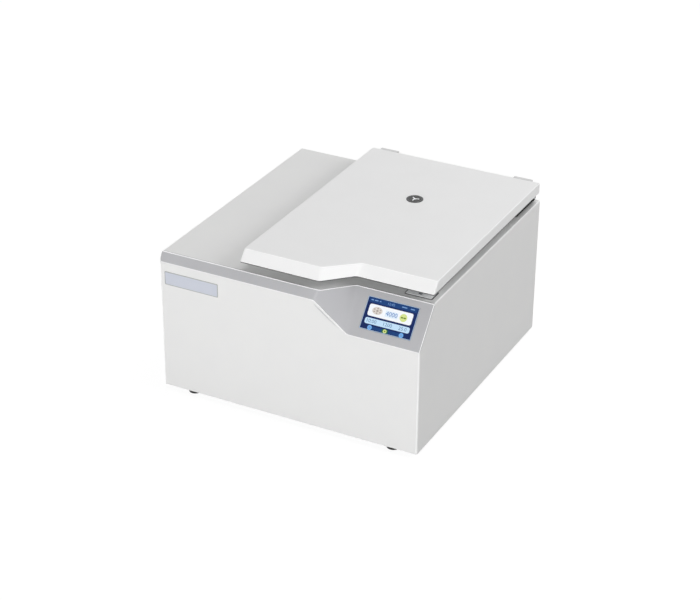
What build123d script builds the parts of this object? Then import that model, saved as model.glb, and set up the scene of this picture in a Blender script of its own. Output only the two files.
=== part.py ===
from build123d import *
import os
from math import atan2, cos, hypot, radians, sin, tan

# Bench cytocentrifuge. Frame: X to the right, Y to the back, Z up, millimetres.
# The origin lies on the bench, under the middle of the cabinet.

# ---------------------------------------------------------------- clearances
FIT = 0.05  # radial play of a shaft or pin in its bore
SEAT = 0.3  # gap between neighbouring pieces that don't bear on each other
SLIDE = 0.4  # side play of a sliding or dropped-in piece
FREE = 1.0  # side play between pieces that turn past each other

# ---------------------------------------------------------------- cabinet
BODY_W = 570.0  # left side to right side
BODY_D = 580.0  # front face to the edge of the rear
BODY_H = 300.0  # underside of the casing to the deck
FOOT_H = 10.0
WALL = 4.0
EDGE_R = 3.5
PROUD = 1.0  # name plate before the front, hinge covers behind the rear
PAN_T = 2.5
REAR_T = 2.0
REAR_SET_IN = 6.0
BOSS = 12.0  # square screw posts inside the housing

# ---------------------------------------------------------------- front trim
BAND_SETBACK = 9.7  # narrow band, left of the jog
BAND_DROP = 19.4
PANEL_SETBACK = 62.0  # slanted control panel, right of the jog
PANEL_DROP = 75.0
PANEL_W_TOP = 165.1  # panel's left corner to the right side, on the deck
PANEL_W_LOW = 153.5  # the same on the front face
JOG_RUN_TOP = 52.4  # sideways run of the diagonal, on the deck
JOG_RUN_LOW = 73.0  # the same on the front face
JOG_R = 14.0
TRIM_T = 2.0
JOG_DRIFT = 0.6  # sideways shift of the jog's corners for each mm of depth
CUT_OVER = 5.0  # how far a cut runs on past the skin

# ---------------------------------------------------------------- display
SCREEN_W = 107.9
SCREEN_H = 64.8
SCREEN_FROM_SIDE = 25.9  # right side to the screen's right edge
SCREEN_UP = 18.6  # foot of the panel to the screen's lower edge, along the slope
GLASS_T = 1.8
MODULE_RIM = 6.0
MODULE_T = 6.0
BOARD_GAP = 8.0
BOARD_T = 1.6
BOARD_W = 66.0
BOARD_H = 52.0
CHIP = 12.0
CHIP_T = 1.5
CHIP_PITCH = 18.0

# ---------------------------------------------------------------- name plate
PLATE_W = 122.0
PLATE_H = 29.0
PLATE_FROM_SIDE = 10.2
PLATE_DROP = 38.6
PLATE_R = 2.0

# ---------------------------------------------------------------- lid
LID_BORDER = 24.5  # lid's left edge beyond the plug
LID_GAP = 21.7  # deck to the lid's underside
LID_T = 21.3
LID_REAR_SET_IN = 7.2
LID_OVERHANG = 5.0  # lid's lower front edge before the trim's upper edge
LID_SLOPE = 17.0  # its front leans back this far over its height
LID_SPREAD = 4.0
LID_WALL = 3.0
LID_CORNER_R = 3.0
LID_EDGE_R = 2.0
LINER_T = 2.0
PLUG_DEPTH = 9.4
SIGHT_R = 17.5
SIGHT_RISE = 1.2
SIGHT_BORE = 12.0
SIGHT_TUBE_T = 2.0
SIGHT_GLASS_R = 13.6
SIGHT_GLASS_T = 1.6

# ---------------------------------------------------------------- hinges
HINGE_FROM_LID = 39.0  # hinge's middle to the lid's left edge
HINGE_W = 41.0
PIVOT_FROM_REAR = 14.0
PIVOT_UP = 11.0  # pivot above the deck
KNUCKLE_R = 8.0
PIN_R = 3.5
ARM_W = 10.0
ARM_REACH = 98.0
ARM_T = 17.0
COVER_RISE = 3.5  # lower edge of the hinge cover above the lid's underside
BRACKET_SCREW_PITCH = 24.0

# ---------------------------------------------------------------- chamber
GUARD_TO_SIDE = 26.0  # guard ring to the right wall
GUARD_TO_REAR = 29.0  # guard ring to the rear panel
BOWL_R = 155.0
BOWL_T = 1.5
BOWL_CORNER_R = 15.0
BOWL_RIM = 13.0
BOWL_HOLE_R = 22.0
SEAL_W = 13.0
SEAL_CROWN_R = 2.5
GUARD_GAP = 3.5
GUARD_T = 5.0

# ---------------------------------------------------------------- motor
MOTOR_PLATE = 160.0
MOTOR_PLATE_T = 4.0
DAMPER_R = 13.0
DAMPER_H = 27.5
DAMPER_INSET = 20.0
MOTOR_R = 46.0
MOTOR_TO_BOWL = 18.0
MOTOR_WALL = 6.0
MOTOR_FINS = 24
FIN_DEPTH = 2.5
FIN_W = 5.0
BEARING_R = 16.0
BEARING_T = 7.0
SHAFT_R = 8.0
SHAFT_TAIL = 4.0
SHAFT_CHAMFER = 1.0
CORE_R = 36.0
CORE_TO_WALL = 15.5  # motor core to the can's end walls
BOOT_RING = 5.0
BOOT_T = 2.0
BOOT_FOLDS = 3

# ---------------------------------------------------------------- rotor
DRIVER_R = 16.0
DRIVER_T = 4.0
DRIVER_OVER_BOWL = 6.0
SPIGOT_H = 20.0
ROTOR_TO_BOWL = 13.0
ROTOR_WALL = 4.0
ROTOR_FLOOR = 6.0
ROTOR_H = 102.0
HUB_R = 22.0
HUB_DROP = 12.0  # hub's top below the rotor's rim
ROTOR_CORNER_R = 10.0
ROTOR_LID_T = 4.0
LIP_H = 5.0
LIP_T = 4.0
KNOB_R = 16.0
KNOB_H = 18.0
KNOB_FLUTES = 10
FLUTE_R = 2.5
STUD_R = 4.0
STUD_DEPTH = 20.0

# ---------------------------------------------------------------- sample carriers
CARRIERS = 6
LEAN = 20.0  # inward lean at rest, degrees
TRUNNION_IN = 20.0  # trunnion inside the rotor's wall
TRUNNION_UP = 18.0  # and its height above the rotor's floor
TRUNNION_R = 2.0
TRUNNION_PLAY = 0.1
POST_T = 4.0
POST_W = 12.0
POST_OVER = 8.0
CLIP_W = 32.0
CLIP_T = 1.5
CLIP_H = 80.0
CLIP_CORNER_R = 3.0
CLIP_BACK_OUT = 8.8  # inner face of the clip's back plate beyond the trunnion
CLIP_FLOOR_GAP = 6.0
CHEEK_H = 22.0
CHEEK_IN = 8.0
WIRE_R = 1.0
WIRE_RISE = 30.0
GLASS_W = 26.0
GLASS_H = 76.0
SLIDE_T = 1.0
LAYER = 0.1  # air between glass, card and flange
CARD_T = 0.8
FLANGE_T = 2.9
FLANGE_W = 27.0
FLANGE_H = 72.0
CUP_IN = 18.0  # cup's axis inside the trunnion
CUP_FOOT = 25.0  # cup's foot above the clip's floor
CUP_H = 43.0
CUP_R_LOW = 7.0
CUP_R_TOP = 13.0
CUP_WALL = 1.5
CUP_BASE = 3.5
TUBE_UP = 31.0
TUBE_R = 5.5
TUBE_BORE = 3.0
WEB_T = 2.0

# ---------------------------------------------------------------- lid lock
LOCK_W = 46.0
LOCK_L = 20.0
LOCK_H = 60.0
LOCK_FROM_SIDE = 18.0
LOCK_BEHIND_PANEL = 18.0
LOCK_WALL = 2.0
LOCK_LIP = 4.0
LOCK_PLATE_T = 1.5
HOOK_T = 5.0
HOOK_W = 11.0
HOOK_TIP_R = 2.75
HOOK_L = 60.0
HOOK_FOOT_T = 3.0
HOOK_FOOT = 9.0
HOOK_WINDOW = 8.5
HOOK_WINDOW_UP = 7.0
BOLT = 6.0
BOLT_L = 14.0
GUIDE_L = 13.0
RELEASE_R = 2.0
RELEASE_IN = 8.0
RELEASE_KNOB_R = 8.0
RELEASE_KNOB_T = 4.0
RELEASE_KNOB_EDGE_R = 1.0
RELEASE_GAP = 5.0  # rod beside the guard ring
RELEASE_RISE = 12.0  # rod above the lock case's underside

# ---------------------------------------------------------------- electronics bay
FAN = 80.0
FAN_T = 25.0
FAN_BORE = 38.5
FAN_FROM_SIDE = 95.0
FAN_UP = 190.0
FAN_HUB_R = 17.0
FAN_BLADES = 7
FAN_BLADE_T = 1.6
FAN_BLADE_L = 17.0
FAN_PITCH = 38.0
FAN_PIN_R = 2.0
FAN_STRUT = 4.0
FAN_BACK = 5.0
INLET_FROM_SIDE = 70.0
INLET_UP = 55.0
INLET_W = 31.0
INLET_H = 50.0
INLET_FLANGE = 3.0
INLET_FLANGE_T = 2.0
INLET_BODY_T = 24.0
SOCKET_W = 24.0
SOCKET_H = 16.5
SOCKET_DEPTH = 17.0
SOCKET_UP = 10.0
SOCKET_CUT = 4.125  # slant across the socket's upper corners
BLADE_W = 2.0
BLADE_H = 4.0
BLADE_L = 14.0
BLADE_PITCH = 7.0
BLADE_RISE = 4.0
DRAWER_W = 22.0
DRAWER_H = 9.0
DRAWER_L = 20.0
DRAWER_DOWN = 14.0
DRAWER_LIP = 1.5
DRAWER_GRIP_W = 11.0
SWITCH_FROM_INLET = 65.0
SWITCH_W = 20.0
SWITCH_H = 31.0
SWITCH_BODY_T = 20.0
ROCKER_W = 14.0
ROCKER_R = 12.0
ROCKER_TILT = 10.0
ROCKER_RISE = 3.2
ROCKER_WAIST = 1.2
ROCKER_BACK = 7.0
ROCKER_AXLE_R = 1.5
ROCKER_AXLE_IN = 3.0
SUPPLY_W = 100.0
SUPPLY_L = 160.0
SUPPLY_H = 50.0
SUPPLY_FROM_REAR = 142.0  # its back to the rear panel
DRIVE_W = 120.0
DRIVE_L = 140.0
DRIVE_FROM_FRONT = 56.0
BAY_SIDE = 16.0  # power supply and drive board beside the left wall
STANDOFF_R = 3.0
STANDOFF_H = 8.0
SINK_W = 90.0
SINK_L = 40.0
SINK_BASE = 5.0
SINK_FIN_T = 2.0
SINK_FIN_H = 30.0
SINK_FINS = 8
CAP_R = 11.0
CAP_H = 34.0
CAP_PITCH = 33.0
SLOT_W = 3.5
SLOT_L = 60.0
SLOT_PITCH = 9.0
SLOTS = 9

# ---------------------------------------------------------------- feet and screws
FOOT_R = 15.0
FOOT_R_LOW = 13.0
FOOT_FROM_SIDE = 60.0
FOOT_FROM_END = 20.0
SCREW_R = 2.0
SCREW_HEAD_R = 4.0
SCREW_HEAD_T = 2.0
SCREW_L = 10.0
SCREW_PLAY = 0.15

# ---------------------------------------------------------------- places that follow
LEFT = -BODY_W / 2
RIGHT = BODY_W / 2
FRONT = -BODY_D / 2
REAR = BODY_D / 2
UNDER = FOOT_H
DECK = UNDER + BODY_H
INNER_LEFT = LEFT + WALL
INNER_RIGHT = RIGHT - WALL
INNER_FRONT = FRONT + WALL
CEILING = DECK - WALL
PAN_TOP = UNDER + PAN_T
REAR_OUT = REAR - REAR_SET_IN
REAR_IN = REAR_OUT - REAR_T
BAND_Y = FRONT + BAND_SETBACK
PANEL_Y = FRONT + PANEL_SETBACK
BAND_Z = DECK - BAND_DROP
PANEL_Z = DECK - PANEL_DROP
PANEL_LEN = hypot(PANEL_SETBACK, PANEL_DROP)
LID_UNDER = DECK + LID_GAP
LID_TOP = LID_UNDER + LID_T
PIVOT_Y = REAR - PIVOT_FROM_REAR
PIVOT_Z = DECK + PIVOT_UP
PLUG_Z = LID_UNDER - PLUG_DEPTH
BOWL_OUT = BOWL_R + BOWL_T
BOWL_UNDER = DECK - BODY_H / 2
BOWL_FLOOR = BOWL_UNDER + BOWL_T
RIM_TOP = DECK + BOWL_T
SEAL_TOP = PLUG_Z - SEAT
SEAL_IN = BOWL_OUT
SEAL_OUT = SEAL_IN + SEAL_W
GUARD_IN = BOWL_OUT + GUARD_GAP
GUARD_OUT = GUARD_IN + GUARD_T
AXIS_X = INNER_RIGHT - GUARD_TO_SIDE - GUARD_OUT
AXIS_Y = REAR_IN - GUARD_TO_REAR - GUARD_OUT
HINGE_HALF_SPAN = SEAL_OUT + LID_BORDER - HINGE_FROM_LID
HINGE_XS = (AXIS_X - HINGE_HALF_SPAN, AXIS_X + HINGE_HALF_SPAN)
LID_RIGHT = RIGHT
LID_LEFT = AXIS_X - SEAL_OUT - LID_BORDER
LID_REAR = REAR - LID_REAR_SET_IN
PLATE_Z = PAN_TOP + DAMPER_H
MOTOR_Z = PLATE_Z + MOTOR_PLATE_T
MOTOR_TOP = BOWL_UNDER - MOTOR_TO_BOWL
MOTOR_H = MOTOR_TOP - MOTOR_Z
CORE_H = MOTOR_H - 2 * MOTOR_WALL - 2 * CORE_TO_WALL
DRIVER_Z = BOWL_FLOOR + DRIVER_OVER_BOWL
ROTOR_Z = DRIVER_Z + DRIVER_T
ROTOR_FLOOR_Z = ROTOR_Z + ROTOR_FLOOR
ROTOR_TOP = ROTOR_Z + ROTOR_H
HUB_TOP = ROTOR_TOP - HUB_DROP
ROTOR_LID_TOP = ROTOR_TOP + ROTOR_LID_T
ROTOR_R = BOWL_R - ROTOR_TO_BOWL
ROTOR_IN = ROTOR_R - ROTOR_WALL
TRUNNION_U = ROTOR_IN - TRUNNION_IN
TRUNNION_Z = ROTOR_FLOOR_Z + TRUNNION_UP
CLIP_Z = ROTOR_FLOOR_Z + CLIP_FLOOR_GAP
CLIP_U = TRUNNION_U + CLIP_BACK_OUT - CLIP_T
SLIDE_U = CLIP_U - LAYER - SLIDE_T
CARD_U = SLIDE_U - LAYER - CARD_T
FLANGE_U = CARD_U - LAYER - FLANGE_T
CUP_U = TRUNNION_U - CUP_IN
LOCK_RIGHT = RIGHT - LOCK_FROM_SIDE
LOCK_LEFT = LOCK_RIGHT - LOCK_W
LOCK_FRONT = PANEL_Y + LOCK_BEHIND_PANEL
LOCK_BACK = LOCK_FRONT + LOCK_L
LOCK_Z = DECK - LOCK_H
HOOK_X = (LOCK_LEFT + LOCK_RIGHT) / 2
HOOK_Y = (LOCK_FRONT + LOCK_BACK) / 2
HOOK_TIP = LID_UNDER - HOOK_L
BOLT_Z = HOOK_TIP + HOOK_WINDOW_UP + HOOK_WINDOW / 2
RELEASE_X = AXIS_X + GUARD_OUT + RELEASE_GAP + RELEASE_R
RELEASE_Z = LOCK_Z + RELEASE_RISE
FAN_X = LEFT + FAN_FROM_SIDE
FAN_Z = UNDER + FAN_UP
INLET_X = LEFT + INLET_FROM_SIDE
SWITCH_X = INLET_X + SWITCH_FROM_INLET
INLET_Z = UNDER + INLET_UP
SOCKET_Z = INLET_Z + SOCKET_UP
DRAWER_Z = INLET_Z - DRAWER_DOWN
INLET_FACE = REAR_OUT + INLET_FLANGE_T
SUPPLY_X = INNER_LEFT + BAY_SIDE + SUPPLY_W / 2
SUPPLY_Y = REAR_IN - SUPPLY_FROM_REAR - SUPPLY_L / 2
DRIVE_X = INNER_LEFT + BAY_SIDE + DRIVE_W / 2
DRIVE_Y = INNER_FRONT + DRIVE_FROM_FRONT + DRIVE_L / 2
FEET = [(x, y) for x in (LEFT + FOOT_FROM_SIDE, RIGHT - FOOT_FROM_SIDE)
        for y in (FRONT + FOOT_FROM_END, REAR - FOOT_FROM_END)]

# The control panel's own plane: x along the cabinet, y up the slope, z out of the panel.
PANEL = Plane(
    origin=(RIGHT, FRONT, PANEL_Z),
    x_dir=(1, 0, 0),
    z_dir=(0, -PANEL_DROP / PANEL_LEN, PANEL_SETBACK / PANEL_LEN),
)
SCREEN_X = -SCREEN_FROM_SIDE - SCREEN_W / 2
SCREEN_Y = SCREEN_UP + SCREEN_H / 2


# ---------------------------------------------------------------- helpers
def block(x0, x1, y0, y1, z0, z1):
    """A box between two corners."""
    middle = Pos((x0 + x1) / 2, (y0 + y1) / 2, (z0 + z1) / 2)
    return middle * Box(x1 - x0, y1 - y0, z1 - z0)


def rod_z(x, y, z0, z1, r):
    return Pos(x, y, (z0 + z1) / 2) * Cylinder(r, z1 - z0)


def rod_y(x, z, y0, y1, r):
    return Pos(x, (y0 + y1) / 2, z) * Rot(90, 0, 0) * Cylinder(r, y1 - y0)


def rod_x(y, z, x0, x1, r):
    return Pos((x0 + x1) / 2, y, z) * Rot(0, 90, 0) * Cylinder(r, x1 - x0)


def ring_z(x, y, z0, z1, r_in, r_out):
    return rod_z(x, y, z0, z1, r_out) - rod_z(x, y, z0, z1, r_in)


def on_panel(cx, cy, depth, w, h, t):
    """A plate parallel to the control panel, its outer face sunk by depth."""
    return PANEL * Pos(cx, cy, -depth - t / 2) * Box(w, h, t)


def save(name, *solids):
    """One file for each piece; loose solids of one kind share a file."""
    shape = solids[0] if len(solids) == 1 else Compound(children=list(solids))
    export_step(shape, f"parts/{name}.step")


# ---------------------------------------------------------------- shared outlines
def jog_corners(depth):
    """The trim's jog on the deck and on the front face, sunk by depth below the skin."""
    band = atan2(BAND_SETBACK, BAND_DROP)
    panel = atan2(PANEL_SETBACK, PANEL_DROP)
    drift = JOG_DRIFT * depth
    top_right = RIGHT - PANEL_W_TOP - drift
    low_right = RIGHT - PANEL_W_LOW - drift
    top = [
        (top_right - JOG_RUN_TOP, BAND_Y + depth / cos(band)),
        (top_right, PANEL_Y + depth / cos(panel)),
    ]
    low = [
        (low_right - JOG_RUN_LOW, BAND_Z - depth / sin(band)),
        (low_right, PANEL_Z - depth / sin(panel)),
    ]
    return top, low


def front_wedge(depth):
    """What the band, the jog and the slanted panel take off the front top edge.

    The surface runs on past the deck and the front face by CUT_OVER.
    """
    top, low = jog_corners(depth)
    side = BODY_W
    z_over = DECK + CUT_OVER
    y_over = FRONT - CUT_OVER
    upper = []
    lower = []
    for (top_x, top_y), (low_x, low_z) in zip(top, low):
        run = Vector(top_x - low_x, top_y - FRONT, DECK - low_z)
        foot = Vector(low_x, FRONT, low_z)
        upper.append(foot + run * ((z_over - low_z) / run.Z))
        lower.append(foot + run * ((y_over - FRONT) / run.Y))
    top_line = FilletPolyline(
        (-side, upper[0].Y, z_over), upper[0], upper[1], (side, upper[1].Y, z_over), radius=JOG_R)
    low_line = FilletPolyline(
        (-side, y_over, lower[0].Z), lower[0], lower[1], (side, y_over, lower[1].Z), radius=JOG_R)
    corner_left = (-side, y_over, z_over)
    corner_right = (side, y_over, z_over)
    skin = [
        Face.make_surface_from_curves(high, deep)
        for high, deep in zip(top_line.edges(), low_line.edges())
    ]
    caps = []
    for line in (top_line, low_line):
        caps.append(Face(Wire([
            *line.edges(),
            Line(line @ 1, corner_right).edge(),
            Line(corner_right, corner_left).edge(),
            Line(corner_left, line @ 0).edge(),
        ])))
    for corner, at in ((corner_left, 0), (corner_right, 1)):
        caps.append(Face(Wire.make_polygon([corner, top_line @ at, low_line @ at], close=True)))
    return Solid(Shell([*skin, *caps]))


def cabinet_block():
    """The cabinet's outer form, before the front is slanted."""
    body = block(LEFT, RIGHT, FRONT, REAR, UNDER, DECK)
    rounded = body.edges().filter_by(Axis.Z)
    rounded += body.faces().sort_by(Axis.Z)[-1].edges().filter_by(Axis.Y)
    return fillet(rounded, radius=EDGE_R)


def lid_outline(lean, spread, inset):
    """The lid seen from above; lean moves its front back and inset shrinks it."""
    top, _ = jog_corners(0)
    turn = LID_OVERHANG * tan(atan2(PANEL_Y - BAND_Y, JOG_RUN_TOP) / 2)
    front_left = top[0][1] - LID_OVERHANG + lean
    front_right = top[1][1] - LID_OVERHANG + lean
    jog_left = top[0][0] + turn - spread
    jog_right = top[1][0] + turn + spread
    points = [
        (LID_LEFT, LID_REAR), (LID_LEFT, front_left), (jog_left, front_left),
        (jog_right, front_right), (LID_RIGHT, front_right), (LID_RIGHT, LID_REAR),
    ]
    corner = LID_CORNER_R
    line = FilletPolyline(
        *points, radius=[corner, corner, JOG_R, JOG_R, corner, corner], close=True,
    )
    face = make_face(line.edges())
    return offset(face, amount=-inset, kind=Kind.INTERSECTION) if inset else face


def lid_form(z0, z1, inset):
    """The lid's outer or inner form between two heights."""
    share0 = (z0 - LID_UNDER) / LID_T
    share1 = (z1 - LID_UNDER) / LID_T
    low = Pos(0, 0, z0) * lid_outline(LID_SLOPE * share0, LID_SPREAD * share0, inset)
    high = Pos(0, 0, z1) * lid_outline(LID_SLOPE * share1, LID_SPREAD * share1, inset)
    return loft([low.face(), high.face()], ruled=True)


# ---------------------------------------------------------------- casing
def screw_posts():
    """Square posts in the housing's corners for the base and rear panel screws."""
    posts = []
    for x0 in (INNER_LEFT, INNER_RIGHT - BOSS):
        x1 = x0 + BOSS
        posts.append(block(x0, x1, REAR_IN - BOSS, REAR_IN, PAN_TOP, CEILING))
        posts.append(block(x0, x1, INNER_FRONT, INNER_FRONT + BOSS, PAN_TOP, PAN_TOP + 2 * BOSS))
    return posts


def base_screw_places():
    """Middles of the posts, seen from below."""
    places = []
    for x in (INNER_LEFT + BOSS / 2, INNER_RIGHT - BOSS / 2):
        places.append((x, INNER_FRONT + BOSS / 2))
        places.append((x, REAR_IN - BOSS / 2))
    return places


def rear_screw_places():
    low = PAN_TOP + 2 * BOSS
    high = CEILING - 2 * BOSS
    return [(x, z) for x in (INNER_LEFT + BOSS / 2, INNER_RIGHT - BOSS / 2)
            for z in (low, (low + high) / 2, high)]


def hinge_screw_places():
    return [(x + side * BRACKET_SCREW_PITCH / 2, PIVOT_Y)
            for x in HINGE_XS for side in (-1, 1)]


def screw_hole_r():
    return SCREW_R + SCREW_PLAY


def housing():
    body = cabinet_block() - front_wedge(TRIM_T)
    hollow = block(INNER_LEFT, INNER_RIGHT, INNER_FRONT, REAR + CUT_OVER, UNDER - CUT_OVER, CEILING)
    body -= hollow - front_wedge(TRIM_T + WALL)
    for post in screw_posts():
        body += post
    body -= rod_z(AXIS_X, AXIS_Y, CEILING - CUT_OVER, DECK + CUT_OVER, BOWL_OUT + SLIDE)
    body -= block(
        LOCK_LEFT - SLIDE, LOCK_RIGHT + SLIDE, LOCK_FRONT - SLIDE, LOCK_BACK + SLIDE,
        CEILING - CUT_OVER, DECK + CUT_OVER)
    body -= on_panel(
        SCREEN_X, SCREEN_Y, 0, SCREEN_W + 2 * SLIDE, SCREEN_H + 2 * SLIDE, 2 * (TRIM_T + WALL))
    for x, y in base_screw_places():
        body -= rod_z(x, y, UNDER, UNDER + SCREW_L, screw_hole_r())
    for x, z in rear_screw_places():
        body -= rod_y(x, z, REAR_OUT - SCREW_L, REAR_OUT, screw_hole_r())
    for x, y in hinge_screw_places():
        body -= rod_z(x, y, CEILING - CUT_OVER, DECK + CUT_OVER, screw_hole_r())
    return body


def front_trim():
    strip = (front_wedge(TRIM_T) - front_wedge(0)) & cabinet_block()
    window = on_panel(SCREEN_X, SCREEN_Y, -CUT_OVER, SCREEN_W, SCREEN_H, 2 * CUT_OVER + TRIM_T)
    return strip - window


def name_plate():
    x0 = LEFT + PLATE_FROM_SIDE
    z1 = DECK - PLATE_DROP
    plate = block(x0, x0 + PLATE_W, FRONT - PROUD, FRONT, z1 - PLATE_H, z1)
    return fillet(plate.edges().filter_by(Axis.Y), radius=PLATE_R)


def vent_slots(x, z, count, y0, y1):
    """Upright slots in a row about x."""
    first = x - (count - 1) * SLOT_PITCH / 2
    return [
        block(first + n * SLOT_PITCH - SLOT_W / 2, first + n * SLOT_PITCH + SLOT_W / 2,
              y0, y1, z - SLOT_L / 2, z + SLOT_L / 2)
        for n in range(count)
    ]


def base_pan():
    pan = block(INNER_LEFT + SEAT, INNER_RIGHT - SEAT, INNER_FRONT + SEAT, REAR_OUT, UNDER, PAN_TOP)
    for x, y in base_screw_places() + FEET:
        pan -= rod_z(x, y, UNDER, PAN_TOP, screw_hole_r())
    first = DRIVE_X - (SLOTS - 1) * SLOT_PITCH / 2
    for n in range(SLOTS):
        x = first + n * SLOT_PITCH
        y = DRIVE_Y
        pan -= block(x - SLOT_W / 2, x + SLOT_W / 2, y - SLOT_L / 2, y + SLOT_L / 2, UNDER, PAN_TOP)
    return pan


def rear_panel():
    panel = block(INNER_LEFT + SEAT, INNER_RIGHT - SEAT, REAR_IN, REAR_OUT, PAN_TOP, CEILING)
    bore = rod_y(FAN_X, FAN_Z, REAR_IN, REAR_OUT, FAN_BORE)
    count = 2 * int(FAN_BORE / SLOT_PITCH) + 1
    first = FAN_Z - (count // 2) * SLOT_PITCH
    for n in range(count):
        z = first + n * SLOT_PITCH
        row = block(FAN_X - FAN_BORE, FAN_X + FAN_BORE, REAR_IN, REAR_OUT,
                    z - SLOT_W / 2, z + SLOT_W / 2)
        panel -= row & bore
    for slot in vent_slots(AXIS_X, INLET_Z + SLOT_L / 2, 2 * SLOTS, REAR_IN, REAR_OUT):
        panel -= slot
    panel -= block(INLET_X - INLET_W / 2, INLET_X + INLET_W / 2, REAR_IN, REAR_OUT,
                   INLET_Z - INLET_H / 2, INLET_Z + INLET_H / 2)
    panel -= block(SWITCH_X - SWITCH_W / 2, SWITCH_X + SWITCH_W / 2, REAR_IN, REAR_OUT,
                   INLET_Z - SWITCH_H / 2, INLET_Z + SWITCH_H / 2)
    panel -= rod_y(RELEASE_X, RELEASE_Z, REAR_IN, REAR_OUT, RELEASE_R + SLIDE)
    for x, z in rear_screw_places():
        panel -= rod_y(x, z, REAR_IN, REAR_OUT, screw_hole_r())
    return panel


def feet():
    made = []
    for x, y in FEET:
        foot = Pos(x, y, FOOT_H / 2) * Cone(FOOT_R_LOW, FOOT_R, FOOT_H)
        foot -= rod_z(x, y, 0, SCREW_HEAD_T * 2, SCREW_HEAD_R + SLIDE)
        foot -= rod_z(x, y, 0, FOOT_H, screw_hole_r())
        made.append(foot)
    return made


def screw_up(x, y, z):
    """A screw driven upwards, the face under its head at z."""
    return rod_z(x, y, z - SCREW_HEAD_T, z, SCREW_HEAD_R) + rod_z(x, y, z, z + SCREW_L - SEAT, SCREW_R)


def case_screws():
    made = [screw_up(x, y, UNDER) for x, y in base_screw_places()]
    made += [screw_up(x, y, SCREW_HEAD_T * 2) for x, y in FEET]
    made += [screw_up(x, y, CEILING) for x, y in hinge_screw_places()]
    for x, z in rear_screw_places():
        head = rod_y(x, z, REAR_OUT, REAR_OUT + SCREW_HEAD_T, SCREW_HEAD_R)
        made.append(head + rod_y(x, z, REAR_OUT - SCREW_L + SEAT, REAR_OUT, SCREW_R))
    return made


# ---------------------------------------------------------------- display
def display_glass():
    glass = on_panel(SCREEN_X, SCREEN_Y, 0, SCREEN_W - 2 * SLIDE, SCREEN_H - 2 * SLIDE, GLASS_T)
    return glass


def display_module():
    """The screen's block fills the window behind the glass; its frame lies on the wall."""
    behind_glass = on_panel(
        SCREEN_X, SCREEN_Y, GLASS_T, SCREEN_W - 2 * SLIDE, SCREEN_H - 2 * SLIDE,
        TRIM_T + WALL - GLASS_T)
    frame = on_panel(
        SCREEN_X, SCREEN_Y, TRIM_T + WALL, SCREEN_W + 2 * MODULE_RIM, SCREEN_H + 2 * MODULE_RIM,
        MODULE_T)
    return behind_glass + frame


def control_board():
    """Board on four standoffs behind the display, with its chips."""
    depth = TRIM_T + WALL + MODULE_T
    x = SCREEN_X - (SCREEN_W - BOARD_W) / 2
    board = on_panel(x, SCREEN_Y, depth + BOARD_GAP, BOARD_W, BOARD_H, BOARD_T)
    for side in (-1, 1):
        for end in (-1, 1):
            px = x + side * (BOARD_W / 2 - 2 * STANDOFF_R)
            py = SCREEN_Y + end * (BOARD_H / 2 - 2 * STANDOFF_R)
            board += PANEL * Pos(px, py, -depth - BOARD_GAP / 2) * Cylinder(STANDOFF_R, BOARD_GAP)
    for n in (-1, 0, 1):
        chip_depth = depth + BOARD_GAP + BOARD_T
        board += on_panel(x + n * CHIP_PITCH, SCREEN_Y, chip_depth, CHIP, CHIP, CHIP_T)
    return board


# ---------------------------------------------------------------- chamber
def chamber_bowl():
    outside = rod_z(AXIS_X, AXIS_Y, BOWL_UNDER, RIM_TOP, BOWL_OUT)
    outside = fillet(outside.edges().sort_by(Axis.Z)[0], radius=BOWL_CORNER_R + BOWL_T)
    inside = rod_z(AXIS_X, AXIS_Y, BOWL_FLOOR, RIM_TOP + CUT_OVER, BOWL_R)
    inside = fillet(inside.edges().sort_by(Axis.Z)[0], radius=BOWL_CORNER_R)
    bowl = outside + rod_z(AXIS_X, AXIS_Y, DECK, RIM_TOP, BOWL_OUT + BOWL_RIM) - inside
    return bowl - rod_z(AXIS_X, AXIS_Y, BOWL_UNDER, BOWL_FLOOR, BOWL_HOLE_R)


def guard_ring():
    return ring_z(AXIS_X, AXIS_Y, PAN_TOP, CEILING, GUARD_IN, GUARD_OUT)


def rim_seal():
    seal = ring_z(AXIS_X, AXIS_Y, RIM_TOP, SEAL_TOP, SEAL_IN, SEAL_OUT)
    return fillet(seal.faces().sort_by(Axis.Z)[-1].edges(), radius=SEAL_CROWN_R)


def shaft_boot():
    """Folded rubber sleeve from the motor's top to the bowl's floor."""
    inner = SHAFT_R + FREE
    points = [(inner, MOTOR_TOP), (inner + BOOT_RING + BOOT_T, MOTOR_TOP)]
    fold = (BOWL_UNDER - MOTOR_TOP) / (2 * BOOT_FOLDS + 1)
    outer = []
    for n in range(2 * BOOT_FOLDS + 1):
        reach = BOOT_RING if n % 2 else 0
        outer.append((inner + BOOT_T + reach, MOTOR_TOP + (n + 0.5) * fold))
    points += outer
    points += [
        (inner + BOOT_T, BOWL_UNDER), (BOWL_HOLE_R - SEAT, BOWL_UNDER),
        (BOWL_HOLE_R - SEAT, BOWL_FLOOR), (BOWL_HOLE_R + BOOT_RING, BOWL_FLOOR),
        (BOWL_HOLE_R + BOOT_RING, BOWL_FLOOR + BOOT_T), (inner, BOWL_FLOOR + BOOT_T),
        (inner, BOWL_UNDER),
    ]
    points += [(r - BOOT_T, z) for r, z in reversed(outer)]
    line = Polyline(*[(r, 0, z) for r, z in points], close=True)
    return Pos(AXIS_X, AXIS_Y, 0) * revolve(make_face(line.edges()), axis=Axis.Z)


# ---------------------------------------------------------------- motor
def motor_dampers():
    reach = MOTOR_PLATE / 2 - DAMPER_INSET
    return [
        rod_z(AXIS_X + sx * reach, AXIS_Y + sy * reach, PAN_TOP, PLATE_Z, DAMPER_R)
        for sx in (-1, 1) for sy in (-1, 1)
    ]


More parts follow.
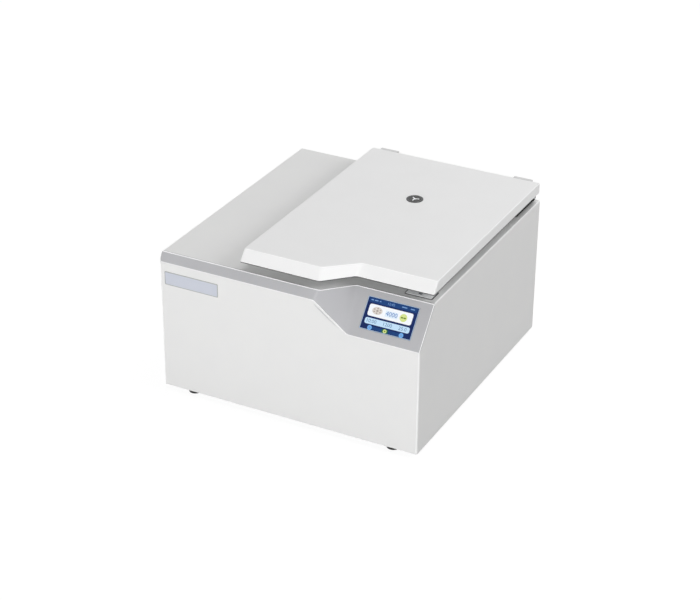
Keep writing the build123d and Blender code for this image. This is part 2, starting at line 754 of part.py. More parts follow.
def motor_plate():
    half = MOTOR_PLATE / 2
    plate = block(AXIS_X - half, AXIS_X + half, AXIS_Y - half, AXIS_Y + half, PLATE_Z, MOTOR_Z)
    plate = fillet(plate.edges().filter_by(Axis.Z), radius=DAMPER_R)
    return plate - rod_z(AXIS_X, AXIS_Y, PLATE_Z, MOTOR_Z, SHAFT_R + FREE)


def motor_can():
    """Finned can with a bearing let into each end wall."""
    can = rod_z(AXIS_X, AXIS_Y, MOTOR_Z, MOTOR_TOP, MOTOR_R)
    groove = Pos(MOTOR_R, 0, MOTOR_H / 2) * Box(2 * FIN_DEPTH, FIN_W, MOTOR_H - 4 * MOTOR_WALL)
    grooves = [Rot(0, 0, n * 360 / MOTOR_FINS) * groove for n in range(MOTOR_FINS)]
    can -= Pos(AXIS_X, AXIS_Y, MOTOR_Z) * (Part() + grooves)
    room = CORE_R + FREE
    wall = MOTOR_WALL + BEARING_T
    can -= rod_z(AXIS_X, AXIS_Y, MOTOR_Z + wall, MOTOR_TOP - wall, room)
    can -= rod_z(AXIS_X, AXIS_Y, MOTOR_Z, MOTOR_TOP, SHAFT_R + FREE)
    low = MOTOR_Z + MOTOR_WALL
    high = MOTOR_TOP - MOTOR_WALL - BEARING_T
    solids = []
    for z in (low, high):
        can -= rod_z(AXIS_X, AXIS_Y, z, z + BEARING_T, BEARING_R)
        solids.append(ring_z(AXIS_X, AXIS_Y, z, z + BEARING_T, SHAFT_R + FIT, BEARING_R))
    return [can, *solids]


def motor_shaft():
    """Shaft with the rotor core, the driver disc and the spigot the rotor sits on."""
    middle = MOTOR_Z + MOTOR_H / 2
    shaft = rod_z(AXIS_X, AXIS_Y, PLATE_Z - SHAFT_TAIL, ROTOR_Z + SPIGOT_H, SHAFT_R)
    shaft += rod_z(AXIS_X, AXIS_Y, middle - CORE_H / 2, middle + CORE_H / 2, CORE_R)
    shaft += rod_z(AXIS_X, AXIS_Y, DRIVER_Z, ROTOR_Z, DRIVER_R)
    top = shaft.edges().filter_by(GeomType.CIRCLE).sort_by(Axis.Z)[-1]
    return chamfer(top, length=SHAFT_CHAMFER)


# ---------------------------------------------------------------- rotor
def station_angles():
    return [360 / CARRIERS * (n + 0.5) for n in range(CARRIERS)]


def at_station(angle, shape):
    """Turns a shape drawn along +X from the rotor axis to its station."""
    return Pos(AXIS_X, AXIS_Y, 0) * Rot(0, 0, angle) * shape


def rotor_posts():
    """Pairs of posts on the rotor's floor, slotted from above for the trunnions."""
    inner = CLIP_W / 2 + FREE
    slot_r = TRUNNION_R + TRUNNION_PLAY
    top = TRUNNION_Z + POST_OVER
    made = []
    for angle in station_angles():
        for side in (-1, 1):
            y0, y1 = sorted((side * inner, side * (inner + POST_T)))
            post = block(TRUNNION_U - POST_W / 2, TRUNNION_U + POST_W / 2, y0, y1, ROTOR_FLOOR_Z, top)
            post -= rod_y(TRUNNION_U, TRUNNION_Z, y0, y1, slot_r)
            post -= block(TRUNNION_U - slot_r, TRUNNION_U + slot_r, y0, y1, TRUNNION_Z, top)
            made.append(at_station(angle, post))
    return made


def rotor_head():
    head = rod_z(AXIS_X, AXIS_Y, ROTOR_Z, ROTOR_TOP, ROTOR_R)
    head = fillet(head.edges().sort_by(Axis.Z)[0], radius=ROTOR_CORNER_R)
    head -= rod_z(AXIS_X, AXIS_Y, ROTOR_FLOOR_Z, ROTOR_TOP, ROTOR_IN)
    head += rod_z(AXIS_X, AXIS_Y, ROTOR_FLOOR_Z, HUB_TOP, HUB_R)
    head -= rod_z(AXIS_X, AXIS_Y, ROTOR_Z, ROTOR_Z + SPIGOT_H + FREE, SHAFT_R + FIT)
    head -= rod_z(AXIS_X, AXIS_Y, HUB_TOP - STUD_DEPTH, HUB_TOP, STUD_R + FIT)
    return head


def rotor_lid():
    lid = rod_z(AXIS_X, AXIS_Y, ROTOR_TOP, ROTOR_LID_TOP, ROTOR_R)
    lip_out = ROTOR_IN - SLIDE
    lid += ring_z(AXIS_X, AXIS_Y, ROTOR_TOP - LIP_H, ROTOR_TOP, lip_out - LIP_T, lip_out)
    return lid - rod_z(AXIS_X, AXIS_Y, ROTOR_TOP, ROTOR_LID_TOP, STUD_R + SLIDE)


def rotor_knob():
    top = ROTOR_LID_TOP + KNOB_H
    knob = rod_z(AXIS_X, AXIS_Y, ROTOR_LID_TOP, top, KNOB_R)
    knob = fillet(knob.edges().sort_by(Axis.Z)[-1], radius=FLUTE_R)
    for n in range(KNOB_FLUTES):
        turn = radians(n * 360 / KNOB_FLUTES)
        x = AXIS_X + KNOB_R * cos(turn)
        y = AXIS_Y + KNOB_R * sin(turn)
        knob -= rod_z(x, y, ROTOR_LID_TOP + FLUTE_R, top, FLUTE_R)
    foot = HUB_TOP - STUD_DEPTH + FREE
    return knob + rod_z(AXIS_X, AXIS_Y, foot, ROTOR_LID_TOP, STUD_R)


# ---------------------------------------------------------------- sample carriers
def leaned(shape):
    """From upright to the inward lean it rests in, about the trunnions."""
    pivot = Pos(TRUNNION_U, 0, TRUNNION_Z)
    return pivot * Rot(0, -LEAN, 0) * Pos(-TRUNNION_U, 0, -TRUNNION_Z) * shape


def slide_clip():
    half = CLIP_W / 2
    back = block(CLIP_U, CLIP_U + CLIP_T, -half, half, CLIP_Z, CLIP_Z + CLIP_H)
    clip = fillet(back.edges().filter_by(Axis.X).group_by(Axis.Z)[-1], radius=CLIP_CORNER_R)
    cheek_in = TRUNNION_U - CHEEK_IN
    clip += block(cheek_in, CLIP_U, -half, half, CLIP_Z, CLIP_Z + CLIP_T)
    wire_u = FLANGE_U - WIRE_R
    for side in (-1, 1):
        y0, y1 = sorted((side * half, side * (half - CLIP_T)))
        clip += block(cheek_in, CLIP_U, y0, y1, CLIP_Z, CLIP_Z + CHEEK_H)
        t0, t1 = sorted((side * (half - CLIP_T / 2), side * (half + FREE + POST_T)))
        clip += rod_y(TRUNNION_U, TRUNNION_Z, t0, t1, TRUNNION_R)
        wire_t = side * (half - WIRE_R)
        clip += rod_z(wire_u, wire_t, CLIP_Z + CHEEK_H - CLIP_T, CLIP_Z + CHEEK_H + WIRE_RISE, WIRE_R)
    top = CLIP_Z + CHEEK_H + WIRE_RISE
    clip += rod_y(wire_u, top, -half, half, WIRE_R)
    return clip


def glass_slide():
    z0 = CLIP_Z + CLIP_T
    return block(SLIDE_U, SLIDE_U + SLIDE_T, -GLASS_W / 2, GLASS_W / 2, z0, z0 + GLASS_H)


def sample_funnel():
    """Flange, cup and tube in one moulding; the filter card is loose before the glass."""
    z0 = CLIP_Z + CLIP_T
    half = FLANGE_W / 2
    flange = block(FLANGE_U, FLANGE_U + FLANGE_T, -half, half, z0, z0 + FLANGE_H)
    card = block(CARD_U, CARD_U + CARD_T, -half, half, z0, z0 + FLANGE_H)
    foot = CLIP_Z + CUP_FOOT
    tube_z = CLIP_Z + TUBE_UP
    cup = Pos(CUP_U, 0, foot + CUP_H / 2) * Cone(CUP_R_LOW, CUP_R_TOP, CUP_H)
    body = flange + cup + rod_x(0, tube_z, CUP_U, FLANGE_U, TUBE_R)
    web_top = CLIP_Z + CHEEK_H + WIRE_RISE - WIRE_R - SEAT
    body += block(CUP_U, FLANGE_U, -WEB_T / 2, WEB_T / 2, tube_z, web_top)
    floor = foot + CUP_BASE
    body -= Pos(CUP_U, 0, (floor + foot + CUP_H) / 2) * Cone(
        CUP_R_LOW - CUP_WALL, CUP_R_TOP - CUP_WALL, foot + CUP_H - floor)
    body -= rod_x(0, tube_z, CUP_U, FLANGE_U + FLANGE_T, TUBE_BORE)
    return [body, card]


# ---------------------------------------------------------------- lid
def lid_shell():
    """Hollow shell, open below, with a bore for the sight glass tube."""
    shell = lid_form(LID_UNDER, LID_TOP, 0)
    shell = fillet(shell.faces().sort_by(Axis.Z)[-1].outer_wire().edges(), radius=LID_EDGE_R)
    shell -= lid_form(LID_UNDER, LID_TOP - LID_WALL, LID_WALL)
    shell -= rod_z(AXIS_X, AXIS_Y, LID_UNDER, LID_TOP, SIGHT_BORE + SIGHT_TUBE_T)
    return shell


def arm_spans():
    """Both arms lie outside their hinge, seen from the rotor axis."""
    left, right = HINGE_XS
    reach = HINGE_W / 2 + FREE
    return [(left - reach - ARM_W, left - reach), (right + reach, right + reach + ARM_W)]


def arm_screw_places():
    first = PIVOT_Y - ARM_REACH + 2 * SCREW_HEAD_R
    second = PIVOT_Y - ARM_REACH / 2
    return [((x0 + x1) / 2, y) for x0, x1 in arm_spans() for y in (first, second)]


def hook_screw_places():
    return [(HOOK_X + side * (HOOK_T / 2 + HOOK_FOOT / 2), HOOK_Y) for side in (-1, 1)]


def lid_liner():
    """Pressed inner pan: a flat rim, and a round plug that closes the chamber."""
    rim = lid_form(LID_UNDER, LID_UNDER + LINER_T, LID_WALL + FIT)
    liner = Part() + rim
    r = SEAL_OUT
    liner -= rod_z(AXIS_X, AXIS_Y, LID_UNDER, LID_UNDER + LINER_T, r - LINER_T)
    liner += ring_z(AXIS_X, AXIS_Y, PLUG_Z, LID_UNDER, r - LINER_T, r)
    liner += ring_z(AXIS_X, AXIS_Y, PLUG_Z, PLUG_Z + LINER_T, SIGHT_BORE + SIGHT_TUBE_T, r)
    for x, y in arm_screw_places() + hook_screw_places():
        liner -= rod_z(x, y, LID_UNDER, LID_UNDER + LINER_T, screw_hole_r())
    return liner


def sight_ring():
    """Dark flange on the lid with a tube down to the plug, stepped for the glass."""
    tube_r = SIGHT_BORE + SIGHT_TUBE_T
    ring = rod_z(AXIS_X, AXIS_Y, LID_TOP, LID_TOP + SIGHT_RISE, SIGHT_R)
    ring = chamfer(ring.edges().sort_by(Axis.Z)[-1], length=SIGHT_RISE / 2)
    ring += rod_z(AXIS_X, AXIS_Y, PLUG_Z, LID_TOP, tube_r - FIT)
    ring -= rod_z(AXIS_X, AXIS_Y, PLUG_Z, LID_TOP + SIGHT_RISE, SIGHT_BORE)
    step = LID_TOP + SIGHT_RISE - SIGHT_GLASS_T
    return ring - rod_z(AXIS_X, AXIS_Y, step, LID_TOP + SIGHT_RISE, SIGHT_GLASS_R + FIT)


def sight_glass():
    top = LID_TOP + SIGHT_RISE
    return rod_z(AXIS_X, AXIS_Y, top - SIGHT_GLASS_T, top - FIT, SIGHT_GLASS_R)


def hinge_brackets():
    made = []
    for x in HINGE_XS:
        half = HINGE_W / 2
        ear = rod_x(PIVOT_Y, PIVOT_Z, x - half, x + half, KNUCKLE_R)
        ear += block(x - half, x + half, PIVOT_Y - KNUCKLE_R, PIVOT_Y + KNUCKLE_R, DECK, PIVOT_Z)
        ear -= rod_x(PIVOT_Y, PIVOT_Z, x - half, x + half, PIN_R + FIT)
        for sx, sy in hinge_screw_places():
            if abs(sx - x) < half:
                ear -= rod_z(sx, sy, DECK, CEILING + SCREW_L, screw_hole_r())
        made.append(ear)
    return made


def hinge_pins():
    made = []
    for x, (x0, x1) in zip(HINGE_XS, arm_spans()):
        half = HINGE_W / 2
        made.append(rod_x(PIVOT_Y, PIVOT_Z, min(x0, x - half), max(x1, x + half), PIN_R))
    return made


def hinge_arms():
    """Flat black arms screwed under the lid and turning on the hinge pins."""
    made = []
    for n, (x0, x1) in enumerate(arm_spans()):
        knuckle = rod_x(PIVOT_Y, PIVOT_Z, x0, x1, KNUCKLE_R)
        strap = block(x0, x1, PIVOT_Y - ARM_REACH, PIVOT_Y, LID_UNDER - ARM_T, LID_UNDER)
        front_low = strap.edges().filter_by(Axis.X).group_by(Axis.Z)[0].sort_by(Axis.Y)[0]
        arm = fillet(front_low, radius=ARM_T / 2) + knuckle
        arm -= rod_x(PIVOT_Y, PIVOT_Z, x0, x1, PIN_R + FIT)
        for x, y in arm_screw_places():
            if x0 < x < x1:
                arm -= rod_z(x, y, LID_UNDER - ARM_T, LID_UNDER, screw_hole_r())
        made.append(arm)
    return made


def hinge_covers():
    made = []
    for x in HINGE_XS:
        half = HINGE_W / 2
        cover = block(x - half, x + half, LID_REAR, REAR + PROUD, LID_UNDER + COVER_RISE, LID_TOP)
        made.append(fillet(cover.faces().sort_by(Axis.Y)[-1].edges(), radius=PROUD))
    return made


def lid_hook():
    """Plate that drops into the lock, with a window for the bolt and a screwed foot."""
    hook = block(HOOK_X - HOOK_T / 2, HOOK_X + HOOK_T / 2, HOOK_Y - HOOK_W / 2, HOOK_Y + HOOK_W / 2,
                 HOOK_TIP, LID_UNDER)
    tip = hook.edges().filter_by(Axis.X).group_by(Axis.Z)[0]
    hook = fillet(tip, radius=HOOK_TIP_R)
    reach = HOOK_T / 2 + HOOK_FOOT
    hook += block(HOOK_X - reach, HOOK_X + reach, HOOK_Y - HOOK_W / 2, HOOK_Y + HOOK_W / 2,
                  LID_UNDER - HOOK_FOOT_T, LID_UNDER)
    hook -= block(HOOK_X - HOOK_T, HOOK_X + HOOK_T, HOOK_Y - HOOK_WINDOW / 2, HOOK_Y + HOOK_WINDOW / 2,
                  BOLT_Z - HOOK_WINDOW / 2, BOLT_Z + HOOK_WINDOW / 2)
    for x, y in hook_screw_places():
        hook -= rod_z(x, y, LID_UNDER - HOOK_FOOT_T, LID_UNDER, screw_hole_r())
    return hook


def lid_screws():
    made = []
    for x, y in arm_screw_places():
        shank = rod_z(x, y, LID_UNDER - ARM_T, LID_UNDER + LINER_T, SCREW_R)
        made.append(shank + rod_z(x, y, LID_UNDER - ARM_T - SCREW_HEAD_T, LID_UNDER - ARM_T, SCREW_HEAD_R))
    for x, y in hook_screw_places():
        z = LID_UNDER - HOOK_FOOT_T
        head = rod_z(x, y, z - SCREW_HEAD_T, z, SCREW_HEAD_R)
        made.append(head + rod_z(x, y, z, LID_UNDER + LINER_T, SCREW_R))
    return made


# ---------------------------------------------------------------- lid lock
def lock_case():
    """Case hung in the deck by its plate, with a guide for the bolt."""
    case = block(LOCK_LEFT, LOCK_RIGHT, LOCK_FRONT, LOCK_BACK, LOCK_Z, DECK)
    case += block(LOCK_LEFT - LOCK_LIP, LOCK_RIGHT + LOCK_LIP, LOCK_FRONT - LOCK_LIP,
                  LOCK_BACK + LOCK_LIP, DECK, DECK + LOCK_PLATE_T)
    inner_left = LOCK_LEFT + LOCK_WALL
    case -= block(inner_left, LOCK_RIGHT - LOCK_WALL, LOCK_FRONT + LOCK_WALL, LOCK_BACK - LOCK_WALL,
                  LOCK_Z + LOCK_WALL, DECK - LOCK_WALL)
    guide = BOLT / 2 + LOCK_WALL
    case += block(inner_left, inner_left + GUIDE_L, HOOK_Y - guide, HOOK_Y + guide,
                  BOLT_Z - guide, BOLT_Z + guide)
    bore = BOLT / 2 + SLIDE / 2
    case -= block(inner_left, inner_left + GUIDE_L, HOOK_Y - bore, HOOK_Y + bore,
                  BOLT_Z - bore, BOLT_Z + bore)
    case -= block(HOOK_X - HOOK_T / 2 - FREE, HOOK_X + HOOK_T / 2 + FREE,
                  LOCK_FRONT + LOCK_WALL, LOCK_BACK - LOCK_WALL,
                  DECK - LOCK_WALL, DECK + LOCK_PLATE_T)
    return case - rod_y(RELEASE_X, RELEASE_Z, LOCK_BACK - LOCK_WALL, LOCK_BACK, RELEASE_R + SLIDE / 2)


def lock_bolt():
    x0 = LOCK_LEFT + LOCK_WALL + SLIDE
    return block(x0, x0 + BOLT_L, HOOK_Y - BOLT / 2, HOOK_Y + BOLT / 2, BOLT_Z - BOLT / 2,
                 BOLT_Z + BOLT / 2)


def release_pull():
    """Rod from the lock to a knob that lies on the rear panel."""
    face = REAR_OUT + SEAT
    pull = rod_y(RELEASE_X, RELEASE_Z, LOCK_BACK - RELEASE_IN, face, RELEASE_R)
    knob = rod_y(RELEASE_X, RELEASE_Z, face, face + RELEASE_KNOB_T, RELEASE_KNOB_R)
    return pull + fillet(knob.edges().sort_by(Axis.Y)[-1], radius=RELEASE_KNOB_EDGE_R)


# ---------------------------------------------------------------- fan
def fan_frame():
    y0 = REAR_IN - FAN_T
    half = FAN / 2
    frame = block(FAN_X - half, FAN_X + half, y0, REAR_IN, FAN_Z - half, FAN_Z + half)
    frame = fillet(frame.edges().filter_by(Axis.Y), radius=FAN_STRUT)
    frame -= rod_y(FAN_X, FAN_Z, y0, REAR_IN, FAN_BORE)
    strut = Pos(FAN_X, y0 + FAN_BACK / 2, FAN_Z) * Rot(0, 45, 0) * Box(2 * FAN_BORE, FAN_BACK, FAN_STRUT)
    other = Pos(FAN_X, y0 + FAN_BACK / 2, FAN_Z) * Rot(0, -45, 0) * Box(2 * FAN_BORE, FAN_BACK, FAN_STRUT)
    frame += strut + other
    frame += rod_y(FAN_X, FAN_Z, y0, y0 + FAN_BACK, FAN_HUB_R)
    return frame + rod_y(FAN_X, FAN_Z, y0, REAR_IN - FAN_BACK, FAN_PIN_R)


def fan_impeller():
    y0 = REAR_IN - FAN_T + FAN_BACK + FREE
    y1 = REAR_IN - FREE
    wheel = rod_y(FAN_X, FAN_Z, y0, y1, FAN_HUB_R)
    reach = FAN_BORE - FREE - FAN_HUB_R
    blade = Pos(FAN_HUB_R - FREE + (reach + FREE) / 2, 0, 0) * Rot(FAN_PITCH, 0, 0) * Box(
        reach + FREE, FAN_BLADE_T, FAN_BLADE_L)
    middle = (y0 + y1) / 2
    for n in range(FAN_BLADES):
        turn = Rot(0, n * 360 / FAN_BLADES, 0)
        wheel += Pos(FAN_X, middle, FAN_Z) * turn * blade
    wheel &= rod_y(FAN_X, FAN_Z, y0, y1, FAN_BORE - FREE)
    return wheel - rod_y(FAN_X, FAN_Z, y0, REAR_IN - FAN_BACK + SEAT, FAN_PIN_R + FIT)


# ---------------------------------------------------------------- mains
def mains_inlet():
    """Three-pin inlet in a flanged body, with a slot below for the fuse drawer."""
    half_w = INLET_W / 2 - SLIDE
    half_h = INLET_H / 2 - SLIDE
    body = block(INLET_X - half_w, INLET_X + half_w, INLET_FACE - INLET_BODY_T, REAR_OUT,
                 INLET_Z - half_h, INLET_Z + half_h)
    rim_w = INLET_W / 2 + INLET_FLANGE
    rim_h = INLET_H / 2 + INLET_FLANGE
    flange = block(INLET_X - rim_w, INLET_X + rim_w, REAR_OUT, INLET_FACE, INLET_Z - rim_h,
                   INLET_Z + rim_h)
    body += fillet(flange.edges().filter_by(Axis.Y), radius=INLET_FLANGE)
    socket = block(INLET_X - SOCKET_W / 2, INLET_X + SOCKET_W / 2, INLET_FACE - SOCKET_DEPTH, INLET_FACE,
                   SOCKET_Z - SOCKET_H / 2, SOCKET_Z + SOCKET_H / 2)
    upper_corners = socket.edges().filter_by(Axis.Y).group_by(Axis.Z)[-1]
    body -= chamfer(upper_corners, length=SOCKET_CUT)
    body -= block(INLET_X - DRAWER_W / 2 - SLIDE / 2, INLET_X + DRAWER_W / 2 + SLIDE / 2,
                  INLET_FACE - DRAWER_L - SLIDE, INLET_FACE,
                  DRAWER_Z - DRAWER_H / 2 - SLIDE / 2, DRAWER_Z + DRAWER_H / 2 + SLIDE / 2)
    for dx, dz in ((-BLADE_PITCH, 0), (0, BLADE_RISE), (BLADE_PITCH, 0)):
        x = INLET_X + dx
        z = SOCKET_Z + dz
        body += block(x - BLADE_W / 2, x + BLADE_W / 2, INLET_FACE - SOCKET_DEPTH,
                      INLET_FACE - SOCKET_DEPTH + BLADE_L, z - BLADE_H / 2, z + BLADE_H / 2)
    return body


def fuse_drawer():
    drawer = block(INLET_X - DRAWER_W / 2, INLET_X + DRAWER_W / 2, INLET_FACE - DRAWER_L, INLET_FACE,
                   DRAWER_Z - DRAWER_H / 2, DRAWER_Z + DRAWER_H / 2)
    tray = block(INLET_X - DRAWER_W / 2 + DRAWER_LIP, INLET_X + DRAWER_W / 2 - DRAWER_LIP,
                 INLET_FACE - DRAWER_L + DRAWER_LIP, INLET_FACE - 2 * DRAWER_LIP,
                 DRAWER_Z - DRAWER_H / 2 + DRAWER_LIP, DRAWER_Z + DRAWER_H / 2)
    grip_half = DRAWER_GRIP_W / 2
    grip = block(INLET_X - grip_half, INLET_X + grip_half, INLET_FACE, INLET_FACE + DRAWER_LIP,
                 DRAWER_Z - DRAWER_LIP, DRAWER_Z + DRAWER_LIP)
    return drawer - tray + grip


def switch_body():
    half_w = SWITCH_W / 2 - SLIDE
    half_h = SWITCH_H / 2 - SLIDE
    body = block(SWITCH_X - half_w, SWITCH_X + half_w, INLET_FACE - SWITCH_BODY_T, REAR_OUT,
                 INLET_Z - half_h, INLET_Z + half_h)
    body += block(SWITCH_X - half_w - INLET_FLANGE, SWITCH_X + half_w + INLET_FLANGE, REAR_OUT,
                  INLET_FACE, INLET_Z - half_h - INLET_FLANGE, INLET_Z + half_h + INLET_FLANGE)
    body -= block(SWITCH_X - ROCKER_W / 2 - SLIDE, SWITCH_X + ROCKER_W / 2 + SLIDE,
                  INLET_FACE - SWITCH_BODY_T + INLET_FLANGE_T, INLET_FACE,
                  INLET_Z - ROCKER_R - FREE, INLET_Z + ROCKER_R + FREE)
    axle = rod_x(INLET_FACE - ROCKER_AXLE_IN, INLET_Z, SWITCH_X - half_w, SWITCH_X + half_w,
                 ROCKER_AXLE_R + FIT)
    return body - axle


def power_rocker():
    """Waisted rocker on a cross axle, lying in its off position."""
    pivot_y = INLET_FACE - ROCKER_AXLE_IN
    edge = ROCKER_R - 2 * FREE
    points = [
        (ROCKER_AXLE_IN + ROCKER_RISE, edge), (ROCKER_AXLE_IN + ROCKER_WAIST, 0),
        (ROCKER_AXLE_IN + ROCKER_RISE, -edge), (-ROCKER_BACK, -edge / 2), (-ROCKER_BACK, edge / 2),
    ]
    side = make_face(Polyline(*[(0, y, z) for y, z in points], close=True).edges())
    rocker = Pos(-ROCKER_W / 2, 0, 0) * extrude(side, amount=ROCKER_W, dir=(1, 0, 0))
    reach = SWITCH_W / 2 - FREE
    rocker += rod_x(0, 0, -reach, reach, ROCKER_AXLE_R)
    return Pos(SWITCH_X, pivot_y, INLET_Z) * Rot(ROCKER_TILT, 0, 0) * rocker


# ---------------------------------------------------------------- electronics
def power_supply():
    """Vented box on the base pan."""
    x0 = SUPPLY_X - SUPPLY_W / 2
    y0 = SUPPLY_Y - SUPPLY_L / 2
    box = block(x0, x0 + SUPPLY_W, y0, y0 + SUPPLY_L, PAN_TOP, PAN_TOP + SUPPLY_H)
    top = PAN_TOP + SUPPLY_H
    for n in range(SLOTS):
        y = SUPPLY_Y + (n - SLOTS // 2) * SLOT_PITCH
        box -= block(SUPPLY_X - SLOT_L / 2, SUPPLY_X + SLOT_L / 2, y - SLOT_W / 2, y + SLOT_W / 2,
                     top - SLOT_W, top)
    return box


def drive_board():
    """Board on standoffs with a finned heat sink and two capacitors."""
    z0 = PAN_TOP + STANDOFF_H
    x0 = DRIVE_X - DRIVE_W / 2
    y0 = DRIVE_Y - DRIVE_L / 2
    board = block(x0, x0 + DRIVE_W, y0, y0 + DRIVE_L, z0, z0 + BOARD_T)
    inset = 2 * STANDOFF_R
    for x in (x0 + inset, x0 + DRIVE_W - inset):
        for y in (y0 + inset, y0 + DRIVE_L - inset):
            board += rod_z(x, y, PAN_TOP, z0, STANDOFF_R)
    top = z0 + BOARD_T
    sink_y = y0 + inset * 2
    board += block(DRIVE_X - SINK_W / 2, DRIVE_X + SINK_W / 2, sink_y, sink_y + SINK_L, top,
                   top + SINK_BASE)
    for n in range(SINK_FINS):
        x = DRIVE_X - SINK_W / 2 + n * (SINK_W - SINK_FIN_T) / (SINK_FINS - 1)
        board += block(x, x + SINK_FIN_T, sink_y, sink_y + SINK_L, top, top + SINK_BASE + SINK_FIN_H)
    for side in (-1, 1):
        board += rod_z(DRIVE_X + side * CAP_PITCH / 2, y0 + DRIVE_L - CAP_R - inset, top, top + CAP_H,
                       CAP_R)
    return board


# ---------------------------------------------------------------- write the pieces
os.makedirs("parts", exist_ok=True)

save("housing", housing())
save("front_trim", front_trim())
save("name_plate", name_plate())
save("base_pan", base_pan())
save("rear_panel", rear_panel())
save("feet", *feet())
save("case_screws", *case_screws())
save("display_glass", display_glass())
save("display_module", display_module(), control_board())
save("chamber_bowl", chamber_bowl())
save("guard_ring", guard_ring())
save("rim_seal", rim_seal())
save("shaft_boot", shaft_boot())
save("motor_dampers", *motor_dampers())
save("motor_plate", motor_plate())
save("motor_can", *motor_can())
save("power_supply", power_supply())
save("drive_board", drive_board())
save("fan_frame", fan_frame())
save("mains_inlet", mains_inlet())
save("switch_body", switch_body())
save("lock_case", lock_case())
save("hinge_brackets", *hinge_brackets())
save("hinge_pins", *hinge_pins())
save("lid_shell", lid_shell())
save("lid_liner", lid_liner())
save("sight_ring", sight_ring())
save("sight_glass", sight_glass())
save("hinge_arms", *hinge_arms())
save("hinge_covers", *hinge_covers())
save("lid_hook", lid_hook())
save("lid_screws", *lid_screws())
save("motor_shaft", motor_shaft())
save("rotor_head", rotor_head())
save("rotor_posts", *rotor_posts())
save("rotor_lid", rotor_lid())
save("rotor_knob", rotor_knob())
save("fan_impeller", fan_impeller())
save("power_rocker", power_rocker())
save("lock_bolt", lock_bolt())
save("fuse_drawer", fuse_drawer())
save("release_pull", release_pull())
CLIP = leaned(slide_clip())
SLIDE_GLASS = leaned(glass_slide())
FUNNEL = [leaned(solid) for solid in sample_funnel()]
for number, angle in enumerate(station_angles(), start=1):
    save(f"slide_clip_{number}", at_station(angle, CLIP))
    save(f"glass_slide_{number}", at_station(angle, SLIDE_GLASS))
    save(f"sample_funnel_{number}", *[at_station(angle, solid) for solid in FUNNEL])
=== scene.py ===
# %% [markdown]
# # A bench cytocentrifuge, dressed
# The machine arrives here as a fixed frame: every solid already has its real size and place.
# What is left is what an eye sees: paint, brushed steel, rubber, glass, a lit screen, and the
# small pieces that are easier to make as meshes than as solids. Lengths are in metres, the
# way Blender counts, and MM turns a workshop size into them.

# %% Load the frame
from math import cos, pi, radians, sin, tan

import bmesh
import bpy
from mathutils import Matrix, Vector


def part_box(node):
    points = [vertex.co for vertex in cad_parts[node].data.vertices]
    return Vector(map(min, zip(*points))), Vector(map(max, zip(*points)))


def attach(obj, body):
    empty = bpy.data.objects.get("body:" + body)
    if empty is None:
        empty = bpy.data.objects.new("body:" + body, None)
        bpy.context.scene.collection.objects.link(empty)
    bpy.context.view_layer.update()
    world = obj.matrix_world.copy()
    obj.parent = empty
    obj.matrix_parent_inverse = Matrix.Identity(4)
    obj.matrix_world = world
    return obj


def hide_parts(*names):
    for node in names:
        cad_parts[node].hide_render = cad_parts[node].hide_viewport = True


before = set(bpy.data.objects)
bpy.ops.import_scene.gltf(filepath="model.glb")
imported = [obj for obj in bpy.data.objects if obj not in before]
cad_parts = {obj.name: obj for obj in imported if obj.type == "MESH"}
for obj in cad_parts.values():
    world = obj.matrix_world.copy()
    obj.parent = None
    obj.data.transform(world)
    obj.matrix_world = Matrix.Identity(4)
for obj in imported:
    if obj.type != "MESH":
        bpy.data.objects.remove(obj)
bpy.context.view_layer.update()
MM = 0.001

# %% [markdown]
# ## Colour
# Paint charts and screens give colours as sRGB hex values, but light is added up in linear
# values. One function does the change, so that every colour below can be written as hex.


# %% Hex to linear
def linear(code):
    values = []
    for i in (1, 3, 5):
        c = int(code[i:i + 2], 16) / 255
        values.append(c / 12.92 if c <= 0.04045 else ((c + 0.055) / 1.055) ** 2.4)
    return (*values, 1.0)


WHITE = linear("#FFFFFF")
print("mid grey in linear:", [round(v, 3) for v in linear("#808080")])

# %% [markdown]
# ## One helper for every node
# A material or a Geometry Nodes tree is boxes and wires. A wire is given as the output it
# comes from, and anything else is a value for a socket or a setting of the node. With that,
# one function is enough for all kinds of node. It gives back an output, ready for the next
# wire, and the output knows its own node, if that is needed.


# %% Add a node with its settings and links
def add(tree, kind, settings=None, output=0):
    node = tree.nodes.new(kind)
    for key, value in (settings or {}).items():
        if isinstance(value, bpy.types.NodeSocket):
            tree.links.new(value, node.inputs[key])
        elif isinstance(key, int) or key in node.inputs:
            node.inputs[key].default_value = value
        else:
            setattr(node, key, value)
    return node.outputs[output] if len(node.outputs) else None


MATERIALS = {}


def surface(name, rough, metallic=0.0, edge_mm=0.0, **constants):
    """An empty finish: tree, shader, object coordinates, and a softened edge if it has one."""
    material = bpy.data.materials.new(name)
    material.use_nodes = True
    MATERIALS[name] = material
    tree = material.node_tree
    shader = tree.nodes["Principled BSDF"]
    for key, value in {"Roughness": rough, "Metallic": metallic, **constants}.items():
        shader.inputs[key.replace("_", " ")].default_value = value
    spot = add(tree, "ShaderNodeTexCoord", output="Object")
    edge = add(tree, "ShaderNodeBevel", {"samples": 6, "Radius": edge_mm * MM}) if edge_mm else None
    return tree, shader, spot, edge


def tint(tree, shader, factor, dark, light, socket="Base Color"):
    """The colour runs from dark to light with the factor."""
    settings = {"data_type": "RGBA", 0: factor, 6: linear(dark), 7: linear(light)}
    tree.links.new(add(tree, "ShaderNodeMix", settings, output=2), shader.inputs[socket])


def ripple(tree, shader, height, depth_mm, edge=None):
    """A height pattern becomes a relief of that depth."""
    settings = {"Height": height, "Distance": depth_mm * MM}
    if edge:
        settings["Normal"] = edge
    tree.links.new(add(tree, "ShaderNodeBump", settings), shader.inputs["Normal"])


